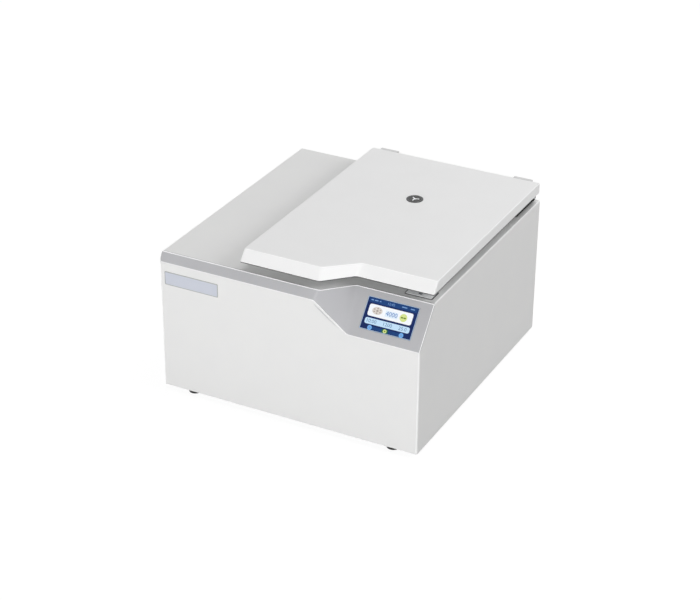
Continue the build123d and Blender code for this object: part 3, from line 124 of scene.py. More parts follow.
def spread(tree, shader, factor, low, high):
    """Roughness runs from low to high with the factor."""
    span = add(tree, "ShaderNodeMapRange", {"Value": factor, "To Min": low, "To Max": high})
    tree.links.new(span, shader.inputs["Roughness"])


# %% [markdown]
# Satin plastic catches the light along its rounded edges, and here that highlight is painted
# into the colour. On this box a rounding is the only place where the surface looks up steeply
# but not straight up, or sideways between two walls, so the direction of the surface alone
# tells where an edge is. There the colour goes over to a lighter one: a painted highlight.


# %% Painted highlight along the edges
def paint_edge_highlight(name, code):
    """Painted highlight: the named finish gets lighter where the surface turns from one face into the
    next.
    """
    tree = MATERIALS[name].node_tree
    facing = add(tree, "ShaderNodeNewGeometry", output="Normal")
    facing = add(tree, "ShaderNodeVectorMath", {"operation": "ABSOLUTE", 0: facing})
    x, y, z = add(tree, "ShaderNodeSeparateXYZ", {0: facing}).node.outputs
    leaving_top = add(tree, "ShaderNodeMapRange", {"Value": z, "From Min": 0.99, "From Max": 0.955})
    above_lean = add(tree, "ShaderNodeMapRange", {"Value": z, "From Min": 0.66, "From Max": 0.72})
    crest_highlight = add(tree, "ShaderNodeMath", {"operation": "MULTIPLY", 0: leaving_top, 1: above_lean})
    between = add(tree, "ShaderNodeMath", {"operation": "MULTIPLY", 0: x, 1: y})
    settings = {"Value": between, "From Min": 0.12, "From Max": 0.3, "To Max": 0.5}
    between = add(tree, "ShaderNodeMapRange", settings)
    upright = add(tree, "ShaderNodeMath", {"operation": "LESS_THAN", 0: z, 1: 0.2})
    corner = add(tree, "ShaderNodeMath", {"operation": "MULTIPLY", 0: between, 1: upright})
    # rim is the mask of the painted highlight: where it is 1 the colour goes over to the light one.
    rim = add(tree, "ShaderNodeMath", {"operation": "MAXIMUM", 0: crest_highlight, 1: corner})
    colour = tree.nodes["Principled BSDF"].inputs["Base Color"]
    settings = {"data_type": "RGBA", 0: rim, 6: colour.links[0].from_socket, 7: linear(code)}
    tree.links.new(add(tree, "ShaderNodeMix", settings, output=2), colour)


# %% [markdown]
# ## The view
# A long lens far away keeps the box from looking wedge-shaped. The camera stands in front, a
# little to the right and above, and looks down at the lid and the slanted panel. One function
# builds its matrix from three plain directions: right, up and backwards. Later it also sets
# flat drawings, such as the screen's picture, on their faces.

# %% Camera
scene = bpy.context.scene


def stand(name, data):
    """A new object in the scene."""
    item = bpy.data.objects.new(name, data)
    scene.collection.objects.link(item)
    return item


def placed(at, right, up, out):
    """The matrix that puts x, y and z along these directions, at this place."""
    return Matrix.Translation(at) @ Matrix((right, up, out)).transposed().to_4x4()


AZIMUTH = radians(27.165)
ELEVATION = radians(28.240)
ROLL = radians(0.515)
CAMERA_AT = Vector((1.5716, -3.0841, 1.9978))
back = Vector((sin(AZIMUTH) * cos(ELEVATION), -cos(AZIMUTH) * cos(ELEVATION), sin(ELEVATION)))
right = (-back).cross(Vector((0, 0, 1))).normalized()
up = right.cross(-back)
camera = stand("camera", bpy.data.cameras.new("camera"))
camera.data.sensor_width = 36.0
camera.data.lens = 97.52
camera.matrix_world = placed(
    CAMERA_AT, right * cos(ROLL) + up * sin(ROLL), up * cos(ROLL) - right * sin(ROLL), back)
scene.camera = camera
scene.view_settings.view_transform = "Standard"
print("camera", round(CAMERA_AT.length, 2), "m from the origin")

# %% [markdown]
# ## Floor and daylight
# White machines are shown on white paper. If lamps alone had to make the paper white, they
# would burn out the paint, so the paper is white only for rays that come straight from the
# eye, from a mirror or through glass. Every other ray meets an ordinary pale sheet, which
# sends soft light back up. A share of true shading is kept, and with it the faint shadow.

# %% World and floor
SEEN_RAYS = ("Is Camera Ray", "Is Glossy Ray", "Is Transmission Ray")
DAYLIGHT = 0.18
PAPER_GLOW = 0.92
PAPER_SHADING = (0.13, 0.13, 0.13, 1)


def seen(tree):
    """1 for the rays that show the background itself."""
    rays = add(tree, "ShaderNodeLightPath").node.outputs
    total = rays[SEEN_RAYS[0]]
    for ray in SEEN_RAYS[1:]:
        total = add(tree, "ShaderNodeMath", {"operation": "MAXIMUM", 0: total, 1: rays[ray]})
    return total


world = bpy.data.worlds.new("studio")
scene.world = world
world.use_nodes = True
sky = world.node_tree
sky.nodes.clear()
dim = add(sky, "ShaderNodeBackground", {"Color": WHITE, "Strength": DAYLIGHT})
full = add(sky, "ShaderNodeBackground", {"Color": WHITE, "Strength": 1.0})
both = add(sky, "ShaderNodeMixShader", {0: seen(sky), 1: dim, 2: full})
add(sky, "ShaderNodeOutputWorld", {"Surface": both})

paper = bpy.data.materials.new("paper_sweep")
paper.use_nodes = True
tree = paper.node_tree
tree.nodes.clear()
sheet = add(tree, "ShaderNodeBsdfDiffuse", {"Color": linear("#B8B8B8")})
shaded = add(tree, "ShaderNodeBsdfDiffuse", {"Color": PAPER_SHADING})
glow = add(tree, "ShaderNodeEmission", {"Color": WHITE, "Strength": PAPER_GLOW})
shown = add(tree, "ShaderNodeAddShader", {0: glow, 1: shaded})
both = add(tree, "ShaderNodeMixShader", {0: seen(tree), 1: sheet, 2: shown})
add(tree, "ShaderNodeOutputMaterial", {"Surface": both})

FLOOR_HALF = 40.0
floor_mesh = bpy.data.meshes.new("floor")
corners = [(x * FLOOR_HALF, y * FLOOR_HALF, 0) for x, y in ((-1, -1), (1, -1), (1, 1), (-1, 1))]
floor_mesh.from_pydata(corners, [], [(0, 1, 2, 3)])
floor_mesh.materials.append(paper)
floor = stand("floor", floor_mesh)
print("paper", 2 * FLOOR_HALF, "m wide")

# %% [markdown]
# Four soft lamps share the work. A low one in front lights the front face and the lid's
# leaning front. One on the right, at middle height, lights that side and lets the lid throw a
# soft shade on the deck beside it. A large high one behind gives the top its even white, and
# a weak one on the left keeps that side from going grey. Each strength is the share of a
# white card's brightness that the lamp gives face on, so the numbers can be added up by hand.
# The discs are large, which keeps shadows soft.

# %% Lamps
LAMP_DISTANCE = 5.0
AIM = Vector((0, 0, 0.2))
LAMPS = {  # azimuth, elevation, width in metres, share
    "front_lamp": (2, 13, 2.0, 0.66),
    "side_lamp": (95, 32, 2.4, 0.36),
    "top_lamp": (172, 60, 4.2, 0.38),
    "left_lamp": (-112, 14, 2.0, 0.14),
}
for name, (azimuth, elevation, width, share) in LAMPS.items():
    a, e = radians(azimuth), radians(elevation)
    way = Vector((sin(a) * cos(e), -cos(a) * cos(e), sin(e)))
    light = bpy.data.lights.new(name, "AREA")
    light.shape = "DISK"
    light.size = width
    # A disc of P watts gives a card at distance d a brightness of P / (pi * pi * d * d).
    light.energy = share * (pi * LAMP_DISTANCE) ** 2
    lamp = stand(name, light)
    lamp.visible_camera = False
    turned = way.to_track_quat("Z", "Y").to_matrix().to_4x4()
    lamp.matrix_world = Matrix.Translation(AIM + way * LAMP_DISTANCE) @ turned
    print(name, round(light.energy), "W")

# %% [markdown]
# ## Patterns shared by many finishes
# Nearly every finish here is one of three patterns. A moulded or sprayed face has a fine
# grain that is the same in all directions. Brushed metal has the same grain pulled long in
# one direction. Turned or spun metal has it pulled round an axis, so the pattern is read from
# the distance to that axis instead of from x and y. The size of a grain is given in real
# millimetres, because a noise of scale 1000 / g has grains about g millimetres wide.

# %% Grain, brushing and turning marks
STRETCH = 40  # a brushed line is that many grains long


def grain(tree, spot, size_mm, detail=2.0, roughness=0.5):
    settings = {"Vector": spot, "Scale": 1 / (size_mm * MM), "Detail": detail, "Roughness": roughness}
    return add(tree, "ShaderNodeTexNoise", settings)


def brushing(tree, spot, size_mm, along):
    """Grain pulled long: along is 0, 1 or 2 for x, y or z."""
    scale = [1.0, 1.0, 1.0]
    scale[along] = 1 / STRETCH
    settings = {"vector_type": "POINT", "Vector": spot, "Scale": scale}
    return grain(tree, add(tree, "ShaderNodeMapping", settings), size_mm, 3.0, 0.6)


def turning(tree, spot, size_mm, centre):
    """Grain pulled round an upright axis through centre."""
    moved = add(tree, "ShaderNodeVectorMath", {"operation": "SUBTRACT", 0: spot, 1: centre})
    flat = add(tree, "ShaderNodeVectorMath", {"operation": "MULTIPLY", 0: moved, 1: (1, 1, 0)})
    radius = add(tree, "ShaderNodeVectorMath", {"operation": "LENGTH", 0: flat}, output="Value")
    height = add(tree, "ShaderNodeSeparateXYZ", {0: moved}, output=2)
    rings = add(tree, "ShaderNodeCombineXYZ", {0: radius, 1: height})
    return grain(tree, rings, size_mm, 3.0, 0.65)


# %% [markdown]
# ## Families of finish
# A finish is a colour that wanders a little, a roughness that wanders with it, and a relief.
# Real ABS from a spark-eroded mould has grains of 0.3 to 0.5 mm, which would be lost between
# two pixels at this distance, so the large faces use 1.2 mm and keep the relief shallow.


# %% Families
def moulded(name, low, high, rough, size_mm=1.2, depth_mm=0.02, edge_mm=0.6, patch_mm=60, **constants):
    """Moulded or sprayed plastic, powder coat and rubber."""
    tree, shader, spot, edge = surface(name, rough, edge_mm=edge_mm, **constants)
    tint(tree, shader, grain(tree, spot, patch_mm), low, high)
    fine = grain(tree, spot, size_mm)
    spread(tree, shader, fine, rough - 0.04, rough + 0.06)
    ripple(tree, shader, fine, depth_mm, edge)


def metal(name, low, high, rough, marks, size_mm=0.6, depth_mm=0.006, edge_mm=0.4, **where):
    """Bare metal: marks is brushing, turning or grain, and where says how it lies."""
    tree, shader, spot, edge = surface(name, rough, 1.0, edge_mm)
    lines = marks(tree, spot, size_mm, **where)
    tint(tree, shader, lines, low, high)
    spread(tree, shader, lines, rough - 0.09, rough + 0.09)
    ripple(tree, shader, lines, depth_mm, edge)


# %% [markdown]
# ## White ABS, silver paint and the pale plate
# The cabinet and lid are thick structural mouldings in the warm-neutral white of laboratory
# gear. Satin ABS gives soft, wide highlights and no mirror image. The trim round the slanted
# panel is the same kind of moulding, sprayed silver-grey. Its flake is so fine that the paint
# looks matt, and only the moulded edges shine. The plate is brushed and anodised pale blue.
# The bead along the trim is near-white, a painted highlight, and the dull dark strip under the lid's rim
# is painted shade.

# %% The outside
moulded("satin_white_abs", "#E5E5E5", "#E8E8E7", 0.48, depth_mm=0.012, edge_mm=1.0)
moulded("satin_white_abs_lid", "#EFEFEF", "#F2F2F2", 0.46, depth_mm=0.010, edge_mm=1.0)
# Both whites get a painted white highlight along their rounded edges.
paint_edge_highlight("satin_white_abs", "#FFFFFF")
paint_edge_highlight("satin_white_abs_lid", "#FFFFFF")
moulded("silver_sprayed_abs", "#B1B1B4", "#B8B8BB", 0.52, size_mm=0.9, depth_mm=0.008, edge_mm=1.8,
        Specular_IOR_Level=0.3)
# A dull dark strip under the lid's rim: painted shade.
moulded("lid_rim_painted_shade", "#4E4F50", "#585959", 0.75, depth_mm=0.02, patch_mm=12)
# The beads along the trim are near-white: a painted highlight on a real rounded bead.
moulded("bead_painted_highlight", "#F0F0F1", "#F6F6F7", 0.42, size_mm=0.9, depth_mm=0.004, patch_mm=30)

tree, shader, spot, edge = surface("satin_anodised_plate", 0.42, metallic=0.2, edge_mm=0.3)
hair = brushing(tree, spot, 0.5, along=0)
tint(tree, shader, hair, "#C1C5D0", "#CCD0DB")
spread(tree, shader, hair, 0.36, 0.50)
ripple(tree, shader, hair, 0.004, edge)
print("outside finishes:", sorted(MATERIALS))

# %% [markdown]
# ## Rubber, dark plastics and coats
# Rubber is matt and slightly dusty, so its colour wanders more than a moulding's. The dark
# plastics differ mostly in gloss: a rocker polished by fingers, a fan frame as it came out of
# the mould. Powder coat has the broad, shallow waves known as orange peel. After the name
# come two colours, roughness, grain, relief, edge and patch size, the last four in mm.

# %% Dark and coated finishes
moulded("foot_rubber_black", "#141414", "#1E1E1E", 0.78, 0.8, 0.03, 0.8, 6)
moulded("silicone_seal_grey", "#3A3B3D", "#444547", 0.58, 0.7, 0.02, 0.5, 12)
moulded("bellows_rubber_black", "#1B1B1C", "#262627", 0.70, 0.7, 0.03, 0.5, 8)
moulded("damper_rubber_black", "#202021", "#2A2A2B", 0.76, 0.8, 0.03, 0.5, 8)
moulded("bezel_plastic_black", "#18191B", "#202124", 0.45, 0.6, 0.01, 0.3, 15)
moulded("glass_filled_nylon_black", "#1A1A1B", "#252526", 0.52, 0.8, 0.02, 0.4, 12)
moulded("inlet_nylon_black", "#161617", "#1F1F20", 0.42, 0.6, 0.012, 0.4, 10)
moulded("sight_ring_dark", "#2B2D2F", "#363839", 0.36, 0.5, 0.006, 0.6, 10)
moulded("arm_powder_black", "#050505", "#090909", 0.65, 0.9, 0.02, 0.6, 14, Specular_IOR_Level=0.15)
moulded("cover_abs_white", "#D6D6D6", "#DCDCDC", 0.46, 0.9, 0.012, 0.8, 20)
moulded("knob_phenolic_black", "#131314", "#1B1B1C", 0.30, 0.6, 0.006, 0.6, 12)
moulded("rocker_polished_black", "#101011", "#171718", 0.22, 0.7, 0.004, 0.5, 12)
moulded("drawer_nylon_black", "#1B1B1C", "#242425", 0.44, 0.6, 0.012, 0.3, 10)
moulded("release_nylon_red", "#A81F1C", "#B92824", 0.40, 0.6, 0.012, 0.4, 8)
moulded("funnel_polypropylene", "#EDEEEC", "#F4F5F2", 0.36, 0.7, 0.006, 0.3, 12, Subsurface_Weight=0.15)
moulded("liner_coat_white", "#D9DADA", "#E0E1E1", 0.42, 1.6, 0.03, 1.0, 40)
# The name plate's rim is a real raised border, and its darker grey is painted shade along it.
moulded("plate_rim_painted_shade", "#A2A4A4", "#AEB0B0", 0.45, 0.6, 0.006, 0.2, 12)
moulded("marking_white", "#E6E6E4", "#EFEFED", 0.50, 0.5, 0.004, 0.0, 10)
moulded("rear_powder_grey", "#CFD0D0", "#D6D7D7", 0.50, 1.6, 0.04, 0.4, 30)

# %% [markdown]
# ## Plated sheet
# Zinc-plated sheet has faint crystal patches, each reflecting a little differently. A
# Voronoi texture gives every patch one value of its own, which sets colour and roughness.


# %% Zinc and phosphate
def plated(name, low, high, rough, patch_mm, metallic):
    tree, shader, spot, edge = surface(name, rough, metallic, 0.4)
    settings = {"Vector": spot, "Scale": 1 / (patch_mm * MM)}
    patch = add(tree, "ShaderNodeTexVoronoi", settings, output="Color")
    patch = add(tree, "ShaderNodeSeparateColor", {0: patch})
    tint(tree, shader, patch, low, high)
    spread(tree, shader, patch, rough - 0.07, rough + 0.07)
    ripple(tree, shader, grain(tree, spot, 1.0), 0.008, edge)


plated("zinc_plated_pan", "#B4B7BA", "#C2C5C8", 0.42, 7, 0.9)
plated("zinc_plated_case", "#A9ACAF", "#B8BBBE", 0.40, 5, 0.9)
plated("phosphated_guard", "#3C3E41", "#4A4C50", 0.56, 4, 0.6)
plated("motor_plate_zinc", "#9EA2A6", "#AEB2B6", 0.38, 6, 0.9)
print("finishes so far:", len(MATERIALS))

# %% [markdown]
# ## Bare metal
# The bowl is spun from stainless sheet and polished while it turns, so its marks are rings
# about the spindle. The rotor is machined on the same axis from aluminium and anodised. Small
# formed parts, such as the slide clips, keep the straight rolling marks of their sheet.

# %% Spun, turned and brushed parts
low_corner, high_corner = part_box("motor_shaft")
SPINDLE = (low_corner + high_corner) / 2
AXIS = (SPINDLE.x, SPINDLE.y, 0.0)
metal("spun_stainless_bowl", "#BFC1C3", "#CBCDCF", 0.30, turning, 0.7, 0.01, 1.0, centre=AXIS)
metal("anodised_rotor_aluminium", "#B9BCC0", "#C6C9CD", 0.34, turning, 0.6, 0.008, 0.6, centre=AXIS)
metal("cast_motor_aluminium", "#9EA1A4", "#ACAFB2", 0.42, turning, 0.9, 0.02, 0.6, centre=AXIS)
metal("ground_shaft_steel", "#B8BABD", "#C6C8CB", 0.20, turning, 0.3, 0.003, 0.3, centre=AXIS)
metal("rolled_clip_stainless", "#BDBFC1", "#CACCCE", 0.28, brushing, 0.4, 0.004, 0.3, along=2)
metal("pressed_hinge_steel", "#A7AAAD", "#B5B8BB", 0.34, brushing, 0.5, 0.006, 0.4, along=0)
metal("ground_pin_steel", "#B9BBBE", "#C7C9CC", 0.18, brushing, 0.3, 0.003, 0.2, along=1)
metal("hardened_hook_steel", "#8F9296", "#9EA1A5", 0.32, brushing, 0.5, 0.006, 0.5, along=2)
metal("bright_zinc_screws", "#B4B6B9", "#C4C6C9", 0.26, grain, 0.6, 0.004, 0.2)
metal("bright_guard_wire", "#A9ACAF", "#BBBEC1", 0.26, grain, 0.6, 0.004)
metal("bright_sight_guard", "#D4D6D8", "#E2E4E6", 0.40, grain, 0.6, 0.004)
print("spindle at", [round(v, 4) for v in SPINDLE])

# %% [markdown]
# ## Clear parts
# The rotor cover is turned from clear polycarbonate and the slides are glass. Both keep a
# fine haze of wipe marks, which is what makes clear things visible at all. The small window
# in the lid is smoked, so that from outside it reads as a dark disc.

# %% Polycarbonate and glass
HAZE_MM = 9


def clear(name, tone, rough, ior):
    tree, shader, spot, edge = surface(name, rough, edge_mm=0.4, Transmission_Weight=1.0, IOR=ior)
    haze = grain(tree, spot, HAZE_MM, 4.0, 0.6)
    tint(tree, shader, haze, tone, tone)
    spread(tree, shader, haze, rough, rough + 0.05)
    ripple(tree, shader, haze, 0.004, edge)


clear("clear_polycarbonate", "#F3F7F8", 0.03, 1.585)
clear("slide_glass_clear", "#EEF5F3", 0.02, 1.52)
clear("smoked_window", "#2E3134", 0.05, 1.49)
print("finishes:", len(MATERIALS))

# %% [markdown]
# ## The lit screen
# A screen makes its own light, so its colours are emission, and the lamps hardly change them.
# An anti-glare film takes away most of the reflection: a low specular level and a roughness
# of 0.35. The pixels of a real panel are 0.1 mm wide, too fine to see from here, so the
# brightness wanders over 3 mm instead, as the backlight's does. Each colour is written as
# its dark and its light end, and a third value gives the ground and the bars larger patches.

# %% Lit colours
SCREEN = {
    "edge_blue": ("#A6C6E6", "#BCD6F0"),
    "ground": ("#04174A", "#0A2A68", 22),
    "bar_blue": ("#0A2E68", "#184A86", 9),
    "mark_blue": ("#5F8CC6", "#86ACDC"),
    "tile_white": ("#EEF3FA", "#FAFCFF"),
    "tile_pale": ("#B9DAF6", "#CBE5FA"),
    "numeral_blue": ("#3F6FB8", "#5484C8"),
    "numeral_grey": ("#4E7298", "#6488AE"),
    "icon_sand": ("#CFC6BE", "#E2DCD6"),
    "icon_brown": ("#9C8F88", "#B2A7A1"),
    "badge_lime": ("#CFDD7E", "#DDE8A0"),
    "badge_olive": ("#5E7A1E", "#6F8C2A"),
    "key_blue": ("#5FA4E8", "#7DB8F2"),
    "key_green": ("#1B5A3C", "#256A48"),
    "tile_haze": ("#D6E8F8", "#E6F1FB"),
}


def lit(name, dark, light, patch_mm=3.0):
    tree, shader, spot, edge = surface(name, 0.35, Specular_IOR_Level=0.15)
    shader.inputs["Base Color"].default_value = linear("#000000")
    shader.inputs["Emission Strength"].default_value = 1.0
    tint(tree, shader, grain(tree, spot, patch_mm), dark, light, "Emission Color")


for colour, ends in SCREEN.items():
    lit("screen_" + colour, *ends)
print("finishes:", len(MATERIALS))

# %% [markdown]
# ## Parts with two finishes
# One solid stands for the drive board with its chips, and one for the lid lock with the
# bright plate on top of its case. In both the change happens at a known height, so the
# height in object coordinates chooses between two colours.


# %% Board and lock
def two_heights(name, limit_z, below, above, rough, size_mm):
    tree, shader, spot, edge = surface(name, rough, edge_mm=0.3)
    height = add(tree, "ShaderNodeSeparateXYZ", {0: spot}, output=2)
    over = add(tree, "ShaderNodeMath", {"operation": "GREATER_THAN", 0: height, 1: limit_z})
    speck = grain(tree, spot, size_mm, 3.0)
    mixes = []
    for low, high in (below, above):
        settings = {"data_type": "RGBA", 0: speck, 6: linear(low), 7: linear(high)}
        mixes.append(add(tree, "ShaderNodeMix", settings, output=2))
    settings = {"data_type": "RGBA", 0: over, 6: mixes[0], 7: mixes[1]}
    tree.links.new(add(tree, "ShaderNodeMix", settings, output=2), shader.inputs["Base Color"])
    ripple(tree, shader, speck, 0.01, edge)


BOARD_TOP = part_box("drive_board")[0].z + 8.2 * MM
LOCK_PLATE_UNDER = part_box("lock_case")[1].z - 1.6 * MM
two_heights("board_and_parts", BOARD_TOP, ("#1D5A3A", "#2A6E48"), ("#1A1B1D", "#2B2C30"), 0.45, 2.5)
two_heights("lock_case_and_plate", LOCK_PLATE_UNDER, ("#2A2B2D", "#333437"), ("#EEEFF0", "#F5F6F7"),
            0.4, 0.8)

# %% [markdown]
# ## Dress the frame
# Each solid came with a slot name that says what it is made of. One table gives the finish
# for each, and a name missing from it would stop the script here.

# %% Finish for each slot
FINISH = {
    "white_housing": "satin_white_abs", "white_lid": "satin_white_abs_lid",
    "silver_trim": "silver_sprayed_abs", "plate_pale": "satin_anodised_plate",
    "pan_zinc": "zinc_plated_pan", "rear_sheet": "rear_powder_grey",
    "foot_rubber": "foot_rubber_black", "screw_steel": "bright_zinc_screws",
    "display_glass": "screen_ground", "display_frame": "bezel_plastic_black",
    "bowl_steel": "spun_stainless_bowl", "guard_steel": "phosphated_guard",
    "seal_rubber": "silicone_seal_grey", "boot_rubber": "bellows_rubber_black",
    "damper_rubber": "damper_rubber_black", "motor_plate_steel": "motor_plate_zinc",
    "motor_aluminium": "cast_motor_aluminium", "supply_case": "zinc_plated_case",
    "drive_parts": "board_and_parts", "fan_black": "glass_filled_nylon_black",
    "inlet_black": "inlet_nylon_black", "lock_grey": "lock_case_and_plate",
    "hinge_steel": "pressed_hinge_steel", "pin_steel": "ground_pin_steel",
    "liner_coat": "liner_coat_white", "sight_dark": "sight_ring_dark",
    "sight_pane": "smoked_window", "arm_black": "arm_powder_black",
    "cover_grey": "cover_abs_white", "hook_steel": "hardened_hook_steel",
    "shaft_steel": "ground_shaft_steel", "rotor_aluminium": "anodised_rotor_aluminium",
    "rotor_lid_clear": "clear_polycarbonate", "knob_black": "knob_phenolic_black",
    "clip_steel": "rolled_clip_stainless", "slide_glass": "slide_glass_clear",
    "funnel_white": "funnel_polypropylene", "rocker_black": "rocker_polished_black",
    "drawer_black": "drawer_nylon_black", "pull_red": "release_nylon_red",
}
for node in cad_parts.values():
    for place in node.material_slots:
        place.material = MATERIALS[FINISH[place.material.name.split(".")[0]]]
print("dressed", len(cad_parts), "nodes")

# %% [markdown]
# ## Small meshes of our own
# Printed, stamped and bent details are flat outlines with a thickness. One function stacks
# outlines from back to front and closes the ends, another bakes the mesh into the frame: the
# place goes into the points, so the object itself stays at the origin, and it then rides on
# the body that carries the real piece.


# %% Outlines, shells and keeping a piece
def rounded(x, y, width, height, radius, steps=5):
    """A rounded rectangle, counter-clockwise."""
    points = []
    for sx, sy, start in ((1, -1, -90), (1, 1, 0), (-1, 1, 90), (-1, -1, 180)):
        for n in range(steps + 1):
            a = radians(start + 90 * n / steps)
            points.append((x + sx * (width / 2 - radius) + radius * cos(a),
                           y + sy * (height / 2 - radius) + radius * sin(a)))
    return points


def disc(x, y, width, height=None, steps=28):
    """A circle or an ellipse."""
    tall = height or width
    turns = [2 * pi * n / steps for n in range(steps)]
    return [(x + width / 2 * cos(a), y + tall / 2 * sin(a)) for a in turns]


def shell(form, rings, finishes):
    """Outlines stacked from back to front, closed at both ends; one finish for each step."""
    loops = [[form.verts.new((x * MM, y * MM, z * MM)) for x, y in outline] for outline, z in rings]
    count = len(loops[0])
    for n, (under, over) in enumerate(zip(loops, loops[1:])):
        for i in range(count):
            j = (i + 1) % count
            form.faces.new((under[i], under[j], over[j], over[i])).material_index = finishes[n]
    form.faces.new(loops[-1]).material_index = finishes[-1]
    form.faces.new(loops[0][::-1]).material_index = finishes[0]


def letters(form, text, x, y, height, low, high, finish=0):
    """Plain numerals as a mesh: the built-in font is 0.7 of its size tall."""
    curve = bpy.data.curves.new("numerals", "FONT")
    curve.body = text
    curve.size = height * MM / 0.7
    curve.align_x = "CENTER"
    curve.align_y = "CENTER"
    curve.resolution_u = 3
    curve.extrude = (high - low) / 2 * MM
    writer = bpy.data.objects.new("numerals", curve)
    written = bpy.data.meshes.new_from_object(writer)
    bpy.data.objects.remove(writer)
    written.transform(Matrix.Translation((x * MM, y * MM, (low + high) / 2 * MM)))
    before = len(form.faces)
    form.from_mesh(written)
    form.faces.ensure_lookup_table()
    for face in form.faces[before:]:
        face.material_index = finish
    bpy.data.meshes.remove(written)


def keep(name, form, finishes, body, place=None):
    """A finished shape becomes a piece that rides on a body."""
    if isinstance(form, bmesh.types.BMesh):
        mesh = bpy.data.meshes.new(name)
        form.to_mesh(mesh)
        form.free()
        for finish in finishes:
            mesh.materials.append(MATERIALS[finish])
    else:
        mesh = form
        mesh.name = name
    if place:
        mesh.transform(place)
    piece = stand(name, mesh)
    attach(piece, body)
    print(name, len(mesh.polygons), "faces on", body)
    return piece


# %% [markdown]
# ## The picture on the screen
# The touch screen shows a run: a white tile with a rotor sign, the speed and a round lime
# badge, a pale bar with three readings, and a row of keys. It is built from tiles a few
# hundredths of a millimetre thick on the glass, each lying on the one below, as the layers
# of the real picture do. Places are fractions of the picture, from its top left corner. The
# glass's own front face tells where the picture goes and how it leans.

# %% Place of the picture
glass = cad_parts["display_glass"].data
front = max(glass.polygons, key=lambda face: face.area * (face.normal.z - face.normal.y))
OUT = front.normal.copy()
ALONG = Vector((1, 0, 0))
UPWARDS = OUT.cross(ALONG)
reach = max(v.co.dot(OUT) for v in glass.vertices)
face_points = [v.co for v in glass.vertices if v.co.dot(OUT) > reach - 0.01 * MM]
across = [p.dot(ALONG) for p in face_points]
upward = [p.dot(UPWARDS) for p in face_points]
PICTURE_W = (max(across) - min(across)) / MM
PICTURE_H = (max(upward) - min(upward)) / MM
middle = ALONG * (max(across) + min(across)) / 2 + UPWARDS * (max(upward) + min(upward)) / 2 + OUT * reach
ON_GLASS = placed(middle, ALONG, UPWARDS, OUT)
print("picture", round(PICTURE_W, 1), "x", round(PICTURE_H, 1), "mm")

# %% [markdown]
# Each call below lays one tile, dot or reading: its colour, its layer and its place. All of
# them begin one layer's thickness inside the glass, so that no gap can open under them.

# %% Screen picture
picture = bmesh.new()
LAYER = 0.02  # mm that one layer stands above the last
READING_ROW, KEY_ROW = 0.728, 0.922
ICON_U, ICON_V = 0.24, 0.385
SIXTHS = [radians(30 + 60 * n) for n in range(6)]


def spot_on(u, v):
    return (u - 0.5) * PICTURE_W, (0.5 - v) * PICTURE_H


def lay(colour, layer, outline):
    shell(picture, [(outline, -LAYER), (outline, layer * LAYER)], [list(SCREEN).index(colour)])


def tile(colour, layer, u0, v0, u1, v1, radius):
    x0, y1 = spot_on(u0, v0)
    x1, y0 = spot_on(u1, v1)
    lay(colour, layer, rounded((x0 + x1) / 2, (y0 + y1) / 2, x1 - x0, y1 - y0, radius))


def dot(colour, layer, u, v, width, height=None):
    """A round spot; its width is a fraction of the picture's width."""
    lay(colour, layer, disc(*spot_on(u, v), width * PICTURE_W, height and height * PICTURE_W))


def reading(colour, layer, text, u, v, height):
    letters(picture, text, *spot_on(u, v), height, -LAYER, layer * LAYER, list(SCREEN).index(colour))


tile("edge_blue", 1, 0.0, 0.0, 1.0, 1.0, 0.2)
tile("ground", 2, 0.008, 0.013, 0.992, 0.987, 0.2)
tile("bar_blue", 3, 0.03, 0.03, 0.97, 0.165, 1.0)
for u, width in ((0.09, 0.05), (0.17, 0.07), (0.245, 0.03), (0.72, 0.10), (0.88, 0.08)):
    tile("mark_blue", 4, u - width / 2, 0.075, u + width / 2, 0.105, 0.6)
reading("mark_blue", 4, "12:45", 0.46, 0.10, 5.0)
tile("tile_white", 4, 0.07, 0.21, 0.925, 0.575, 4.0)
dot("icon_sand", 5, ICON_U, ICON_V, 0.20, 0.14)
for a in SIXTHS:
    dot("icon_brown", 6, ICON_U + 0.066 * cos(a), ICON_V + 0.072 * sin(a), 0.030, 0.024)
dot("icon_brown", 6, ICON_U, ICON_V, 0.045, 0.035)
tile("tile_haze", 5, 0.40, 0.305, 0.645, 0.495, 1.5)
reading("numeral_blue", 6, "4000", 0.523, 0.40, 8.6)
dot("badge_lime", 5, 0.755, 0.40, 0.145)
for u in (0.725, 0.785):
    tile("badge_olive", 6, u - 0.019, 0.38, u + 0.019, 0.425, 1.0)
tile("badge_olive", 6, 0.74, 0.39, 0.77, 0.415, 0.3)
tile("tile_pale", 4, 0.06, 0.635, 0.935, 0.82, 3.5)
for text, u in (("10:00", 0.185), ("1200", 0.50), ("25.0", 0.80)):
    reading("numeral_grey", 5, text, u, READING_ROW, 7.0)
tile("bar_blue", 3, 0.22, 0.87, 0.78, 0.97, 1.5)
for u in (0.19, 0.81):
    dot("key_blue", 4, u, KEY_ROW, 0.087)
    dot("mark_blue", 5, u, KEY_ROW, 0.045)
tile("key_green", 4, 0.43, 0.865, 0.55, 0.985, 1.0)
dot("badge_lime", 5, 0.49, 0.925, 0.07)
dot("badge_olive", 6, 0.49, 0.925, 0.03)
finishes = ["screen_" + colour for colour in SCREEN]
keep("screen_picture", picture, finishes, "cabinet", ON_GLASS)

# %% [markdown]
# ## The name plate
# A thin stamped plate has a raised rim round a lower field. Five outlines make it: straight
# up at the edge, over the rim, and down to the field, which stays bare.

# %% Name plate
low_corner, high_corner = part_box("name_plate")
size = (high_corner - low_corner) / MM
at = (low_corner + high_corner) / 2
PLATE_R = 2.0
SECTION = ((0.0, 0.0), (0.0, 0.7), (0.3, 1.0), (1.0, 1.0), (1.6, 0.55))  # inset and height, in mm
plate = bmesh.new()
rings = []
for inset, height in SECTION:
    rings.append((rounded(0, 0, size.x - 2 * inset, size.z - 2 * inset, PLATE_R - inset / 2), height))
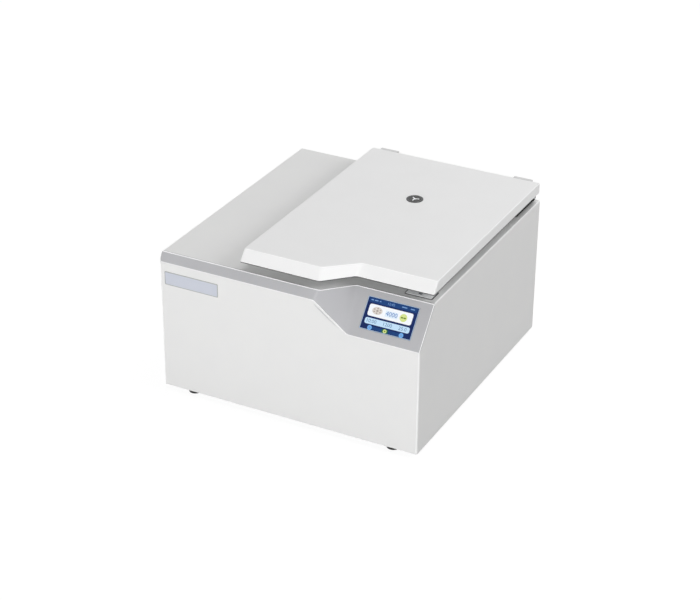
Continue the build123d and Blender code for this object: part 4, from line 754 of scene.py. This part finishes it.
# The rim's steps take a darker grey than the field: painted shade along the raised rim.
shell(plate, rings, [0, 0, 0, 0, 1])
FACING_FRONT = placed((at.x, high_corner.y, at.z), (1, 0, 0), (0, 0, 1), (0, -1, 0))
plate_piece = keep("name_plate_stamped", plate, ["plate_rim_painted_shade", "satin_anodised_plate"],
                   "cabinet", FACING_FRONT)
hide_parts("name_plate")

# %% [markdown]
# ## Round the lock plate
# A thin black frame lies under the bright plate, where the hook drops in. It is painted shade,
# standing in for the shadowed gap round the plate. It is a flat frame: the outline goes out, up, in and
# down again, without end caps, so it is made face by face.


# %% Lock shade frame
def band(form, outer, inner, low, high):
    """A flat frame between two outlines with as many points."""
    sets = [(outer, low), (outer, high), (inner, high), (inner, low)]
    loops = [[form.verts.new((x * MM, y * MM, z * MM)) for x, y in outline] for outline, z in sets]
    count = len(outer)
    for n in range(4):
        here, after = loops[n], loops[(n + 1) % 4]
        for i in range(count):
            j = (i + 1) % count
            form.faces.new((here[i], here[j], after[j], after[i]))


PLATE_T, SHADE_FRAME_T = 1.5, 0.7
SHADE_FRAME_OUT, SHADE_FRAME_OUT_R = 4.6, 3.1  # how much longer than the plate its outline is
SHADE_FRAME_IN, SHADE_FRAME_IN_R = 0.1, 0.9  # and its opening
low_corner, high_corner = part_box("lock_case")
at = [(low_corner[i] + high_corner[i]) / 2 / MM for i in range(2)]
size = [(high_corner[i] - low_corner[i]) / MM for i in range(2)]
deck_z = high_corner.z / MM - PLATE_T
outer = rounded(*at, size[0] + SHADE_FRAME_OUT, size[1] + SHADE_FRAME_OUT, SHADE_FRAME_OUT_R)
inner = rounded(*at, size[0] + SHADE_FRAME_IN, size[1] + SHADE_FRAME_IN, SHADE_FRAME_IN_R)
# The frame's black is painted shade round the lock plate.
shade_frame = bmesh.new()
band(shade_frame, outer, inner, deck_z, deck_z + SHADE_FRAME_T)
keep("lock_shade_frame", shade_frame, ["bezel_plastic_black"], "cabinet")

# %% [markdown]
# ## The dark strip under the lid's rim
# A dark strip lies under the lid's lower rim, in front and along the sides. It is painted
# shade, standing in for the shade that falls just under the rim. It has the rim's own shape, so it is
# taken from the rim: the faces that look straight down are cut off before the hinges, joined into one and
# made narrower.

# %% Rim strip
STRIP_T, STRIP_INSET, STRIP_END_Y = 1.8, 0.4, 236
rim = bmesh.new()
rim.from_mesh(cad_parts["lid_shell"].data)
low_z = min(corner.co.z for corner in rim.verts)
others = [face for face in rim.faces
          if face.normal.z > -0.99 or face.calc_center_median().z > low_z + 0.1 * MM]
bmesh.ops.delete(rim, geom=others, context="FACES")
bmesh.ops.remove_doubles(rim, verts=rim.verts, dist=0.01 * MM)
everything = rim.verts[:] + rim.edges[:] + rim.faces[:]
cut_at = {"plane_co": (0, STRIP_END_Y * MM, 0), "plane_no": (0, 1, 0), "clear_outer": True}
bmesh.ops.bisect_plane(rim, geom=everything, dist=0.001 * MM, **cut_at)
bmesh.ops.dissolve_limit(rim, angle_limit=radians(0.5), verts=rim.verts, edges=rim.edges)
loop = max(rim.faces, key=lambda face: face.calc_perimeter())
bmesh.ops.inset_region(rim, faces=[loop], thickness=STRIP_INSET * MM, use_even_offset=True)
outline = [(corner.co.x / MM, corner.co.y / MM) for corner in loop.verts]
rim.free()
strip = bmesh.new()
shell(strip, [(outline, low_z / MM - STRIP_T), (outline, low_z / MM)], [0])
bmesh.ops.recalc_face_normals(strip, faces=strip.faces)
keep("lid_rim_shade_strip", strip, ["lid_rim_painted_shade"], "lid")

# %% [markdown]
# ## Geometry Nodes: guards and ribs
# A wire guard follows a rule: rings evenly spaced between two radii, and spokes evenly turned
# round the middle. In a node tree the rule is drawn once, with its numbers as inputs. The
# same tree then gives the fan guard, the three-spoked guard on the sight glass and the fine
# ribs of the rim seal. Afterwards the result is copied into a plain mesh.


# %% Tree helpers
def new_tree(name, inputs):
    """A Geometry Nodes tree with named inputs, and the sockets that carry them."""
    tree = bpy.data.node_groups.new(name, "GeometryNodeTree")
    face = tree.interface
    face.new_socket("Geometry", in_out="INPUT", socket_type="NodeSocketGeometry")
    for label, (kind, value) in inputs.items():
        face.new_socket(label, in_out="INPUT", socket_type="NodeSocket" + kind).default_value = value
    face.new_socket("Finish", in_out="INPUT", socket_type="NodeSocketMaterial")
    face.new_socket("Geometry", in_out="OUTPUT", socket_type="NodeSocketGeometry")
    return tree, add(tree, "NodeGroupInput").node.outputs


def close_tree(tree, given, geometry):
    real = add(tree, "GeometryNodeRealizeInstances", {0: geometry})
    painted = add(tree, "GeometryNodeSetMaterial", {0: real, "Material": given["Finish"]})
    add(tree, "NodeGroupOutput", {0: painted})


def swept(tree, path, sides, radius):
    """Curves become round wire of that radius."""
    path = add(tree, "GeometryNodeSetCurveRadius", {"Curve": path, "Radius": 1.0})
    profile = add(tree, "GeometryNodeCurvePrimitiveCircle", {"Resolution": sides, "Radius": radius})
    settings = {"Curve": path, "Profile Curve": profile, "Fill Caps": True}
    return add(tree, "GeometryNodeCurveToMesh", settings)


def grown(tree, finish, values, start=None):
    """The tree run on a start mesh with these values, as a plain mesh."""
    host = stand("host", start or bpy.data.meshes.new("start"))
    modifier = host.modifiers.new("rule", "NODES")
    modifier.node_group = tree
    values = {**values, "Finish": MATERIALS[finish]}
    for item in tree.interface.items_tree:
        if item.in_out == "INPUT" and item.name in values:
            modifier[item.identifier] = values[item.name]
    host.update_tag()
    ready = host.evaluated_get(bpy.context.evaluated_depsgraph_get())
    mesh = bpy.data.meshes.new_from_object(ready)
    bpy.data.objects.remove(host)
    mesh.materials.clear()
    mesh.materials.append(MATERIALS[finish])
    mesh.polygons.foreach_set("material_index", [0] * len(mesh.polygons))
    return mesh


# %% [markdown]
# Rings and spokes are curves until the end, and one profile circle turns both into wire.

# %% The guard tree
guard, given = new_tree("wire_guard", {
    "Rings": ("Int", 3), "Spokes": ("Int", 4), "Inner": ("Float", 0.01), "Outer": ("Float", 0.04),
    "Reach": ("Float", 0.05), "Wire": ("Float", 0.001), "Flat": ("Float", 1.0),
})
number = add(guard, "GeometryNodeInputIndex")
gaps = add(guard, "ShaderNodeMath", {"operation": "SUBTRACT", 0: given["Rings"], 1: 1.0})
gaps = add(guard, "ShaderNodeMath", {"operation": "MAXIMUM", 0: gaps, 1: 1.0})
share = add(guard, "ShaderNodeMath", {"operation": "DIVIDE", 0: number, 1: gaps})
settings = {"Value": share, "To Min": given["Inner"], "To Max": given["Outer"]}
ring_radius = add(guard, "ShaderNodeMapRange", settings)
circle = add(guard, "GeometryNodeCurvePrimitiveCircle", {"Resolution": 72, "Radius": 1.0})
seats = add(guard, "GeometryNodePoints", {"Count": given["Rings"]})
settings = {"Points": seats, "Instance": circle, "Scale": ring_radius}
ring_set = add(guard, "GeometryNodeInstanceOnPoints", settings)

inside = add(guard, "ShaderNodeCombineXYZ", {0: given["Inner"]})
outside = add(guard, "ShaderNodeCombineXYZ", {0: given["Reach"]})
line = add(guard, "GeometryNodeCurvePrimitiveLine", {"Start": inside, "End": outside})
turn = add(guard, "ShaderNodeMath", {"operation": "DIVIDE", 0: 2 * pi, 1: given["Spokes"]})
turn = add(guard, "ShaderNodeMath", {"operation": "MULTIPLY", 0: number, 1: turn})
about = add(guard, "ShaderNodeCombineXYZ", {2: turn})
about = add(guard, "FunctionNodeEulerToRotation", {0: about})
seats = add(guard, "GeometryNodePoints", {"Count": given["Spokes"]})
settings = {"Points": seats, "Instance": line, "Rotation": about}
spoke_set = add(guard, "GeometryNodeInstanceOnPoints", settings)

wires = add(guard, "GeometryNodeJoinGeometry", {0: spoke_set})
guard.links.new(ring_set, wires.node.inputs[0])
wires = add(guard, "GeometryNodeRealizeInstances", {0: wires})
tubes = swept(guard, wires, 8, given["Wire"])
pressed = add(guard, "ShaderNodeCombineXYZ", {0: 1.0, 1: 1.0, 2: given["Flat"]})
tubes = add(guard, "GeometryNodeTransform", {"Geometry": tubes, "Scale": pressed})
close_tree(guard, given, tubes)
print("guard tree:", len(guard.nodes), "nodes")

# %% [markdown]
# The fan guard has four spokes that reach to the fan's screws, the sight guard three that end
# at its ring. The ribs of the seal have no spokes, only flat rings.

# %% Guards and ribs
GUARD_WIRE = 0.8 * MM
FAN_HOLE = 35.75 * MM  # an 80 mm fan has its holes 71.5 mm apart
SIGHT_TURN = radians(22)
low_corner, high_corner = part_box("fan_frame")
fan_at = (low_corner + high_corner) / 2
PANEL_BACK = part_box("rear_panel")[1].y
place = Matrix.Translation((fan_at.x, PANEL_BACK + GUARD_WIRE, fan_at.z))
place = place @ Matrix.Rotation(-pi / 2, 4, "X") @ Matrix.Rotation(pi / 4, 4, "Z")
mesh = grown(guard, "bright_guard_wire", {
    "Rings": 5, "Spokes": 4, "Inner": 9 * MM, "Outer": 38 * MM, "Reach": FAN_HOLE * 2 ** 0.5,
    "Wire": GUARD_WIRE})
keep("fan_wire_guard", mesh, None, "cabinet", place)

low_corner, high_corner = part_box("sight_glass")
sight_at = (low_corner + high_corner) / 2
place = Matrix.Translation((sight_at.x, sight_at.y, high_corner.z))
place = place @ Matrix.Rotation(SIGHT_TURN, 4, "Z")
mesh = grown(guard, "bright_sight_guard", {
    "Rings": 1, "Spokes": 3, "Inner": 1.2 * MM, "Outer": 9 * MM, "Reach": 9 * MM, "Wire": 1.3 * MM,
    "Flat": 0.03})
keep("sight_guard", mesh, None, "lid", place)

low_corner, high_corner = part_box("rim_seal")
place = Matrix.Translation((SPINDLE.x, SPINDLE.y, high_corner.z))
mesh = grown(guard, "silicone_seal_grey", {
    "Rings": 4, "Spokes": 0, "Inner": 158.5 * MM, "Outer": 167.5 * MM, "Reach": 0.0, "Wire": 0.7 * MM,
    "Flat": 0.3})
keep("seal_ribs", mesh, None, "cabinet", place)

# %% [markdown]
# ## Geometry Nodes: the bead round the trim
# Where the silver trim meets the white housing the moulding ends in a fine rounded bead,
# which covers the joint. Its near-white colour is a painted highlight, the bright line that light draws
# along it. It follows the trim's
# outline, so the outline is given as a line of points, and the tree sweeps a circle along it.
# The outline runs level, goes over to a second level and runs on, and its two corners are
# eased first, with the radius they have on the trim.

# %% Bead tree and the three beads
JOG_R, JOG_STEPS = 14.0, 6


def eased(points):
    """The line of points, in millimetres, with its inner corners rounded."""
    points = [Vector(point) for point in points]
    line = [points[0]]
    for before, corner, after in zip(points, points[1:], points[2:]):
        back, on = (before - corner).normalized(), (after - corner).normalized()
        reach = JOG_R / tan(back.angle(on) / 2)
        start, end = corner + back * reach, corner + on * reach
        for n in range(JOG_STEPS + 1):
            t = n / JOG_STEPS
            line.append(start * (1 - t) ** 2 + corner * 2 * t * (1 - t) + end * t ** 2)
    return line + [points[-1]]


def jogged(left, right, jog, point):
    """A line from left to right that changes level in the jog; point sets it in its plane."""
    (x1, level1), (x2, level2) = jog
    return eased([point(left, level1), point(x1, level1), point(x2, level2), point(right, level2)])


bead, given = new_tree("swept_bead", {"Thick": ("Float", 0.001)})
path = add(bead, "GeometryNodeMeshToCurve", {0: given["Geometry"]})
close_tree(bead, given, swept(bead, path, 12, given["Thick"]))
print("bead tree:", len(bead.nodes), "nodes")

BEAD_R, BEAD_SUNK = 1.1, 0.6  # the bead's middle lies a little under the trim's edge
BEAD_START = 2.5  # mm from the trim's left end
FRONT_JOG = ((58.5, 290.2), (131.2, 234.6))  # x and z of the corners, on the front
TOP_JOG = ((67.5, -280.3), (119.9, -228.0))  # x and y of the corners, on top
PANEL_LOW_Z = 235.0
low_corner, high_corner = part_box("front_trim")
left, side = low_corner.x / MM + BEAD_START, high_corner.x / MM - BEAD_R
front_y, top_z = low_corner.y / MM + BEAD_SUNK, high_corner.z / MM - BEAD_SUNK
trim_lines = {
    "trim_bead_lower": jogged(left, side, FRONT_JOG, lambda x, z: (x, front_y, z)),
    "trim_bead_side": [(side, front_y, PANEL_LOW_Z), (side, TOP_JOG[1][1], top_z)],
    "trim_bead_upper": jogged(left, side, TOP_JOG, lambda x, y: (x, y, top_z)),
}
for name, line in trim_lines.items():
    start = bpy.data.meshes.new(name + "_line")
    points = [tuple(c * MM for c in point) for point in line]
    start.from_pydata(points, [(n, n + 1) for n in range(len(points) - 1)], [])
    mesh = grown(bead, "bead_painted_highlight", {"Thick": BEAD_R * MM}, start)
    keep(name, mesh, None, "cabinet")

# %% [markdown]
# ## The lip below the trim
# Under the bead the housing has a low white lip, which hides the trim's cut edge. Its section
# is a flat hump that rises sharply at the bead and runs out softly downwards. The same
# section is set up at every point of the trim's lower outline, and the sections are joined.

# %% Trim lip
UPPER_EDGE = ((58.5, 290.6), (131.5, PANEL_LOW_Z))  # the trim's cut edge begins here and ends ...
LOWER_EDGE = ((57.3, 286.1), (130.3, 231.9))  # ... here, seen from the front
HUMP = (  # share of the way from upper to lower edge, and mm out of the front
    (0.2, -0.3), (0.24, 0.1), (0.3, 0.3), (0.5, 0.36), (0.9, 0.2), (1.3, -0.05), (1.3, -0.3))
CORNER_R, CORNER_STEPS, CORNER_TURN = 3.5, 4, radians(75)
turn_x, face_y = high_corner.x / MM - CORNER_R, low_corner.y / MM
lines = []
for share, height in HUMP:
    jog = [[u + (v - u) * share for u, v in zip(upper, lower)]
           for upper, lower in zip(UPPER_EDGE, LOWER_EDGE)]
    flat = jogged(-turn_x, turn_x, jog, lambda x, z: (x, face_y, z))
    line = [point + Vector((0, -height, 0)) for point in flat]
    for n in range(1, CORNER_STEPS + 1):  # round the upright corners, getting thinner on the way
        done = n / CORNER_STEPS
        a, reach = done * CORNER_TURN, CORNER_R + min(height, height * (1 - done) + 0.02)
        x, y = turn_x + sin(a) * reach, face_y + CORNER_R - cos(a) * reach
        line = [Vector((-x, y, jog[0][1])), *line, Vector((x, y, jog[1][1]))]
    lines.append(line)
lip = bmesh.new()
rings = [[lip.verts.new(tuple(c * MM for c in point)) for point in section]
         for section in zip(*lines)]
for here, after in zip(rings, rings[1:]):
    for i in range(len(HUMP)):
        j = (i + 1) % len(HUMP)
        lip.faces.new((here[i], here[j], after[j], after[i]))
lip.faces.new(rings[0])
lip.faces.new(rings[-1][::-1])
bmesh.ops.recalc_face_normals(lip, faces=lip.faces)
keep("trim_lip", lip, ["satin_white_abs"], "cabinet")

# %% [markdown]
# ## Geometry Nodes: screws with a cross
# The frame's screws are plain pins with a head. A cross recess is cut once, into one head, and
# the tree puts that head wherever the frame has a screw. Each screw of the frame is a loose
# island of triangles, and its box gives the place. A screw is round, so the side of the box
# that differs from the other two is the way it points.

# %% Where the screws are
HEAD_T = 2.0 * MM


def screw_places(node):
    """(place of the head's underside, turn, length of the shank) for each screw of a node."""
    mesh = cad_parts[node].data
    leader = {}

    def lead(key):
        while leader[key] != key:
            key = leader[key]
        return key

    keys = [tuple(round(c * 1e5) for c in v.co) for v in mesh.vertices]
    for key in keys:
        leader.setdefault(key, key)
    for face in mesh.polygons:
        first = lead(keys[face.vertices[0]])
        for n in face.vertices[1:]:
            leader[lead(keys[n])] = first
    islands = {}
    for key in leader:
        islands.setdefault(lead(key), []).append(Vector(key) * 1e-5)
    found = []
    for points in islands.values():
        low = Vector([min(p[i] for p in points) for i in range(3)])
        high = Vector([max(p[i] for p in points) for i in range(3)])
        at, size = (low + high) / 2, high - low
        if abs(size.x - size.y) < abs(size.x - size.z):  # it points up
            found.append(((at.x, at.y, low.z + HEAD_T), (0.0, 0.0, 0.0), high.z - low.z - HEAD_T))
        else:  # it points forward, from the rear
            found.append(((at.x, high.y - HEAD_T, at.z), (pi / 2, 0.0, 0.0), high.y - low.y - HEAD_T))
    return found


# %% [markdown]
# The head is a short cone, and two crossed bars are cut out of it. The shank is one
# unit long, and the tree shortens it to each screw's own length.

# %% Screw tree
CROWN = 0.78  # the top's radius as a share of the head's
ARM = 0.22  # a bar's width as a share of the cross
DEEP = 1.1  # how much of the head's thickness a bar cuts
screws, given = new_tree("cross_screws", {
    "Head": ("Float", 0.004), "Thick": ("Float", HEAD_T), "Shank": ("Float", 0.002),
    "Cross": ("Float", 0.005),
})
half = add(screws, "ShaderNodeMath", {"operation": "MULTIPLY", 0: given["Thick"], 1: -1.0})
low_end = add(screws, "ShaderNodeCombineXYZ", {2: half})
crown = add(screws, "ShaderNodeMath", {"operation": "MULTIPLY", 0: given["Head"], 1: CROWN})
settings = {"Vertices": 24, "Radius Top": given["Head"], "Radius Bottom": crown, "Depth": given["Thick"]}
head = add(screws, "GeometryNodeMeshCone", settings)
head = add(screws, "GeometryNodeTransform", {"Geometry": head, "Translation": low_end})
arm = add(screws, "ShaderNodeMath", {"operation": "MULTIPLY", 0: given["Cross"], 1: ARM})
deep = add(screws, "ShaderNodeMath", {"operation": "MULTIPLY", 0: given["Thick"], 1: DEEP})
for side in range(2):
    extent = add(screws, "ShaderNodeCombineXYZ", {side: given["Cross"], 1 - side: arm, 2: deep})
    cutter = add(screws, "GeometryNodeMeshCube", {"Size": extent})
    cutter = add(screws, "GeometryNodeTransform", {"Geometry": cutter, "Translation": low_end})
    settings = {"operation": "DIFFERENCE", "Mesh 1": head, "Mesh 2": cutter}
    head = add(screws, "GeometryNodeMeshBoolean", settings)

settings = {"data_type": "FLOAT", "Name": "long"}
long = add(screws, "GeometryNodeInputNamedAttribute", settings)
settings = {"data_type": "FLOAT_VECTOR", "Name": "turned"}
turned = add(screws, "GeometryNodeInputNamedAttribute", settings)
turned = add(screws, "FunctionNodeEulerToRotation", {0: turned})
settings = {"Vertices": 16, "Radius": given["Shank"], "Depth": 1.0}
shank = add(screws, "GeometryNodeMeshCylinder", settings)
shank = add(screws, "GeometryNodeTransform", {"Geometry": shank, "Translation": (0.0, 0.0, 0.5)})
stretched = add(screws, "ShaderNodeCombineXYZ", {0: 1.0, 1: 1.0, 2: long})
settings = {"Points": given["Geometry"], "Instance": head, "Rotation": turned}
heads = add(screws, "GeometryNodeInstanceOnPoints", settings)
settings = {"Points": given["Geometry"], "Instance": shank, "Rotation": turned, "Scale": stretched}
shanks = add(screws, "GeometryNodeInstanceOnPoints", settings)
both = add(screws, "GeometryNodeJoinGeometry", {0: heads})
screws.links.new(shanks, both.node.inputs[0])
close_tree(screws, given, both)
print("screw tree:", len(screws.nodes), "nodes")

# %% [markdown]
# The places go into the tree as the points of a mesh, and each point carries two values of
# its own: how the screw is turned, and how long it is. The fan guard has four screws more.


# %% The screws
def screwed(places):
    """All the screws of these places, as one mesh."""
    seats = bpy.data.meshes.new("seats")
    seats.from_pydata([place[0] for place in places], [], [])
    seats.attributes.new("turned", "FLOAT_VECTOR", "POINT")
    seats.attributes.new("long", "FLOAT", "POINT")
    for n, (_, turn, length) in enumerate(places):
        seats.attributes["turned"].data[n].vector = turn
        seats.attributes["long"].data[n].value = length
    return grown(screws, "bright_zinc_screws", {}, seats)


for node, body in (("case_screws", "cabinet"), ("lid_screws", "lid")):
    places = screw_places(node)
    piece = keep(node + "_crossed", screwed(places), None, body)
    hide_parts(node)
    print(node, len(places), "screws")
corners = [(fan_at.x + sx * FAN_HOLE, PANEL_BACK + 2 * GUARD_WIRE, fan_at.z + sz * FAN_HOLE)
           for sx in (-1, 1) for sz in (-1, 1)]
places = [(corner, (pi / 2, 0.0, 0.0), 3 * MM) for corner in corners]
keep("guard_screws", screwed(places), None, "cabinet")

# %% [markdown]
# ## Numbers on the rotor lid
# Six stations have to be told apart, so a number is printed on the clear lid above each. The
# print is a fifth of a millimetre thick here, thicker than ink, so that it is a real shape.

# %% Station numbers
NUMBER_R = 120 * MM
NUMBER_H, SUNK, RAISED = 15, -0.05, 0.15
low_corner, high_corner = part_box("rotor_lid")
numbers = bmesh.new()
for n, a in enumerate(SIXTHS):
    station = bmesh.new()
    letters(station, str(n + 1), 0, 0, NUMBER_H, SUNK, RAISED)
    x, y = SPINDLE.x + NUMBER_R * cos(a), SPINDLE.y + NUMBER_R * sin(a)
    at = Matrix.Translation((x, y, high_corner.z)) @ Matrix.Rotation(a - pi / 2, 4, "Z")
    bmesh.ops.transform(station, matrix=at, verts=station.verts)
    flat = bpy.data.meshes.new("station")
    station.to_mesh(flat)
    station.free()
    numbers.from_mesh(flat)
    bpy.data.meshes.remove(flat)
keep("station_numbers", numbers, ["marking_white"], "rotor_cover")

# %% [markdown]
# ## Marks on the mains switch
# A bar and a ring say on and off. The rocker's face is bent, so every point of a mark is
# dropped straight onto the face before the mark gets its thickness.

# %% Rocker marks
PRINT_T, RING_W, HOLE_W = 0.1, 5.0, 3.2
BAR = (1.2, 5, 0.5)  # width, height, corner radius
BEHIND_Y = 0.4  # well behind the machine
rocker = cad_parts["power_rocker"]
low_corner, high_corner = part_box("power_rocker")
at = (low_corner + high_corner) / 2
quarter = (high_corner.z - low_corner.z) / 4
mark_x, upper, lower = -at.x / MM, (at.z + quarter) / MM, (at.z - quarter) / MM
marks = bmesh.new()
bar = rounded(mark_x, upper, *BAR)
shell(marks, [(bar, -PRINT_T), (bar, PRINT_T)], [0])
band(marks, disc(mark_x, lower, RING_W), disc(mark_x, lower, HOLE_W), -PRINT_T, PRINT_T)
for corner in marks.verts:
    x, z, lift = -corner.co.x, corner.co.y, corner.co.z
    on_face = rocker.ray_cast(Vector((x, BEHIND_Y, z)), Vector((0, -1, 0)))[1]
    corner.co = (x, on_face.y + lift, z)
keep("rocker_marks", marks, ["marking_white"], "rocker")
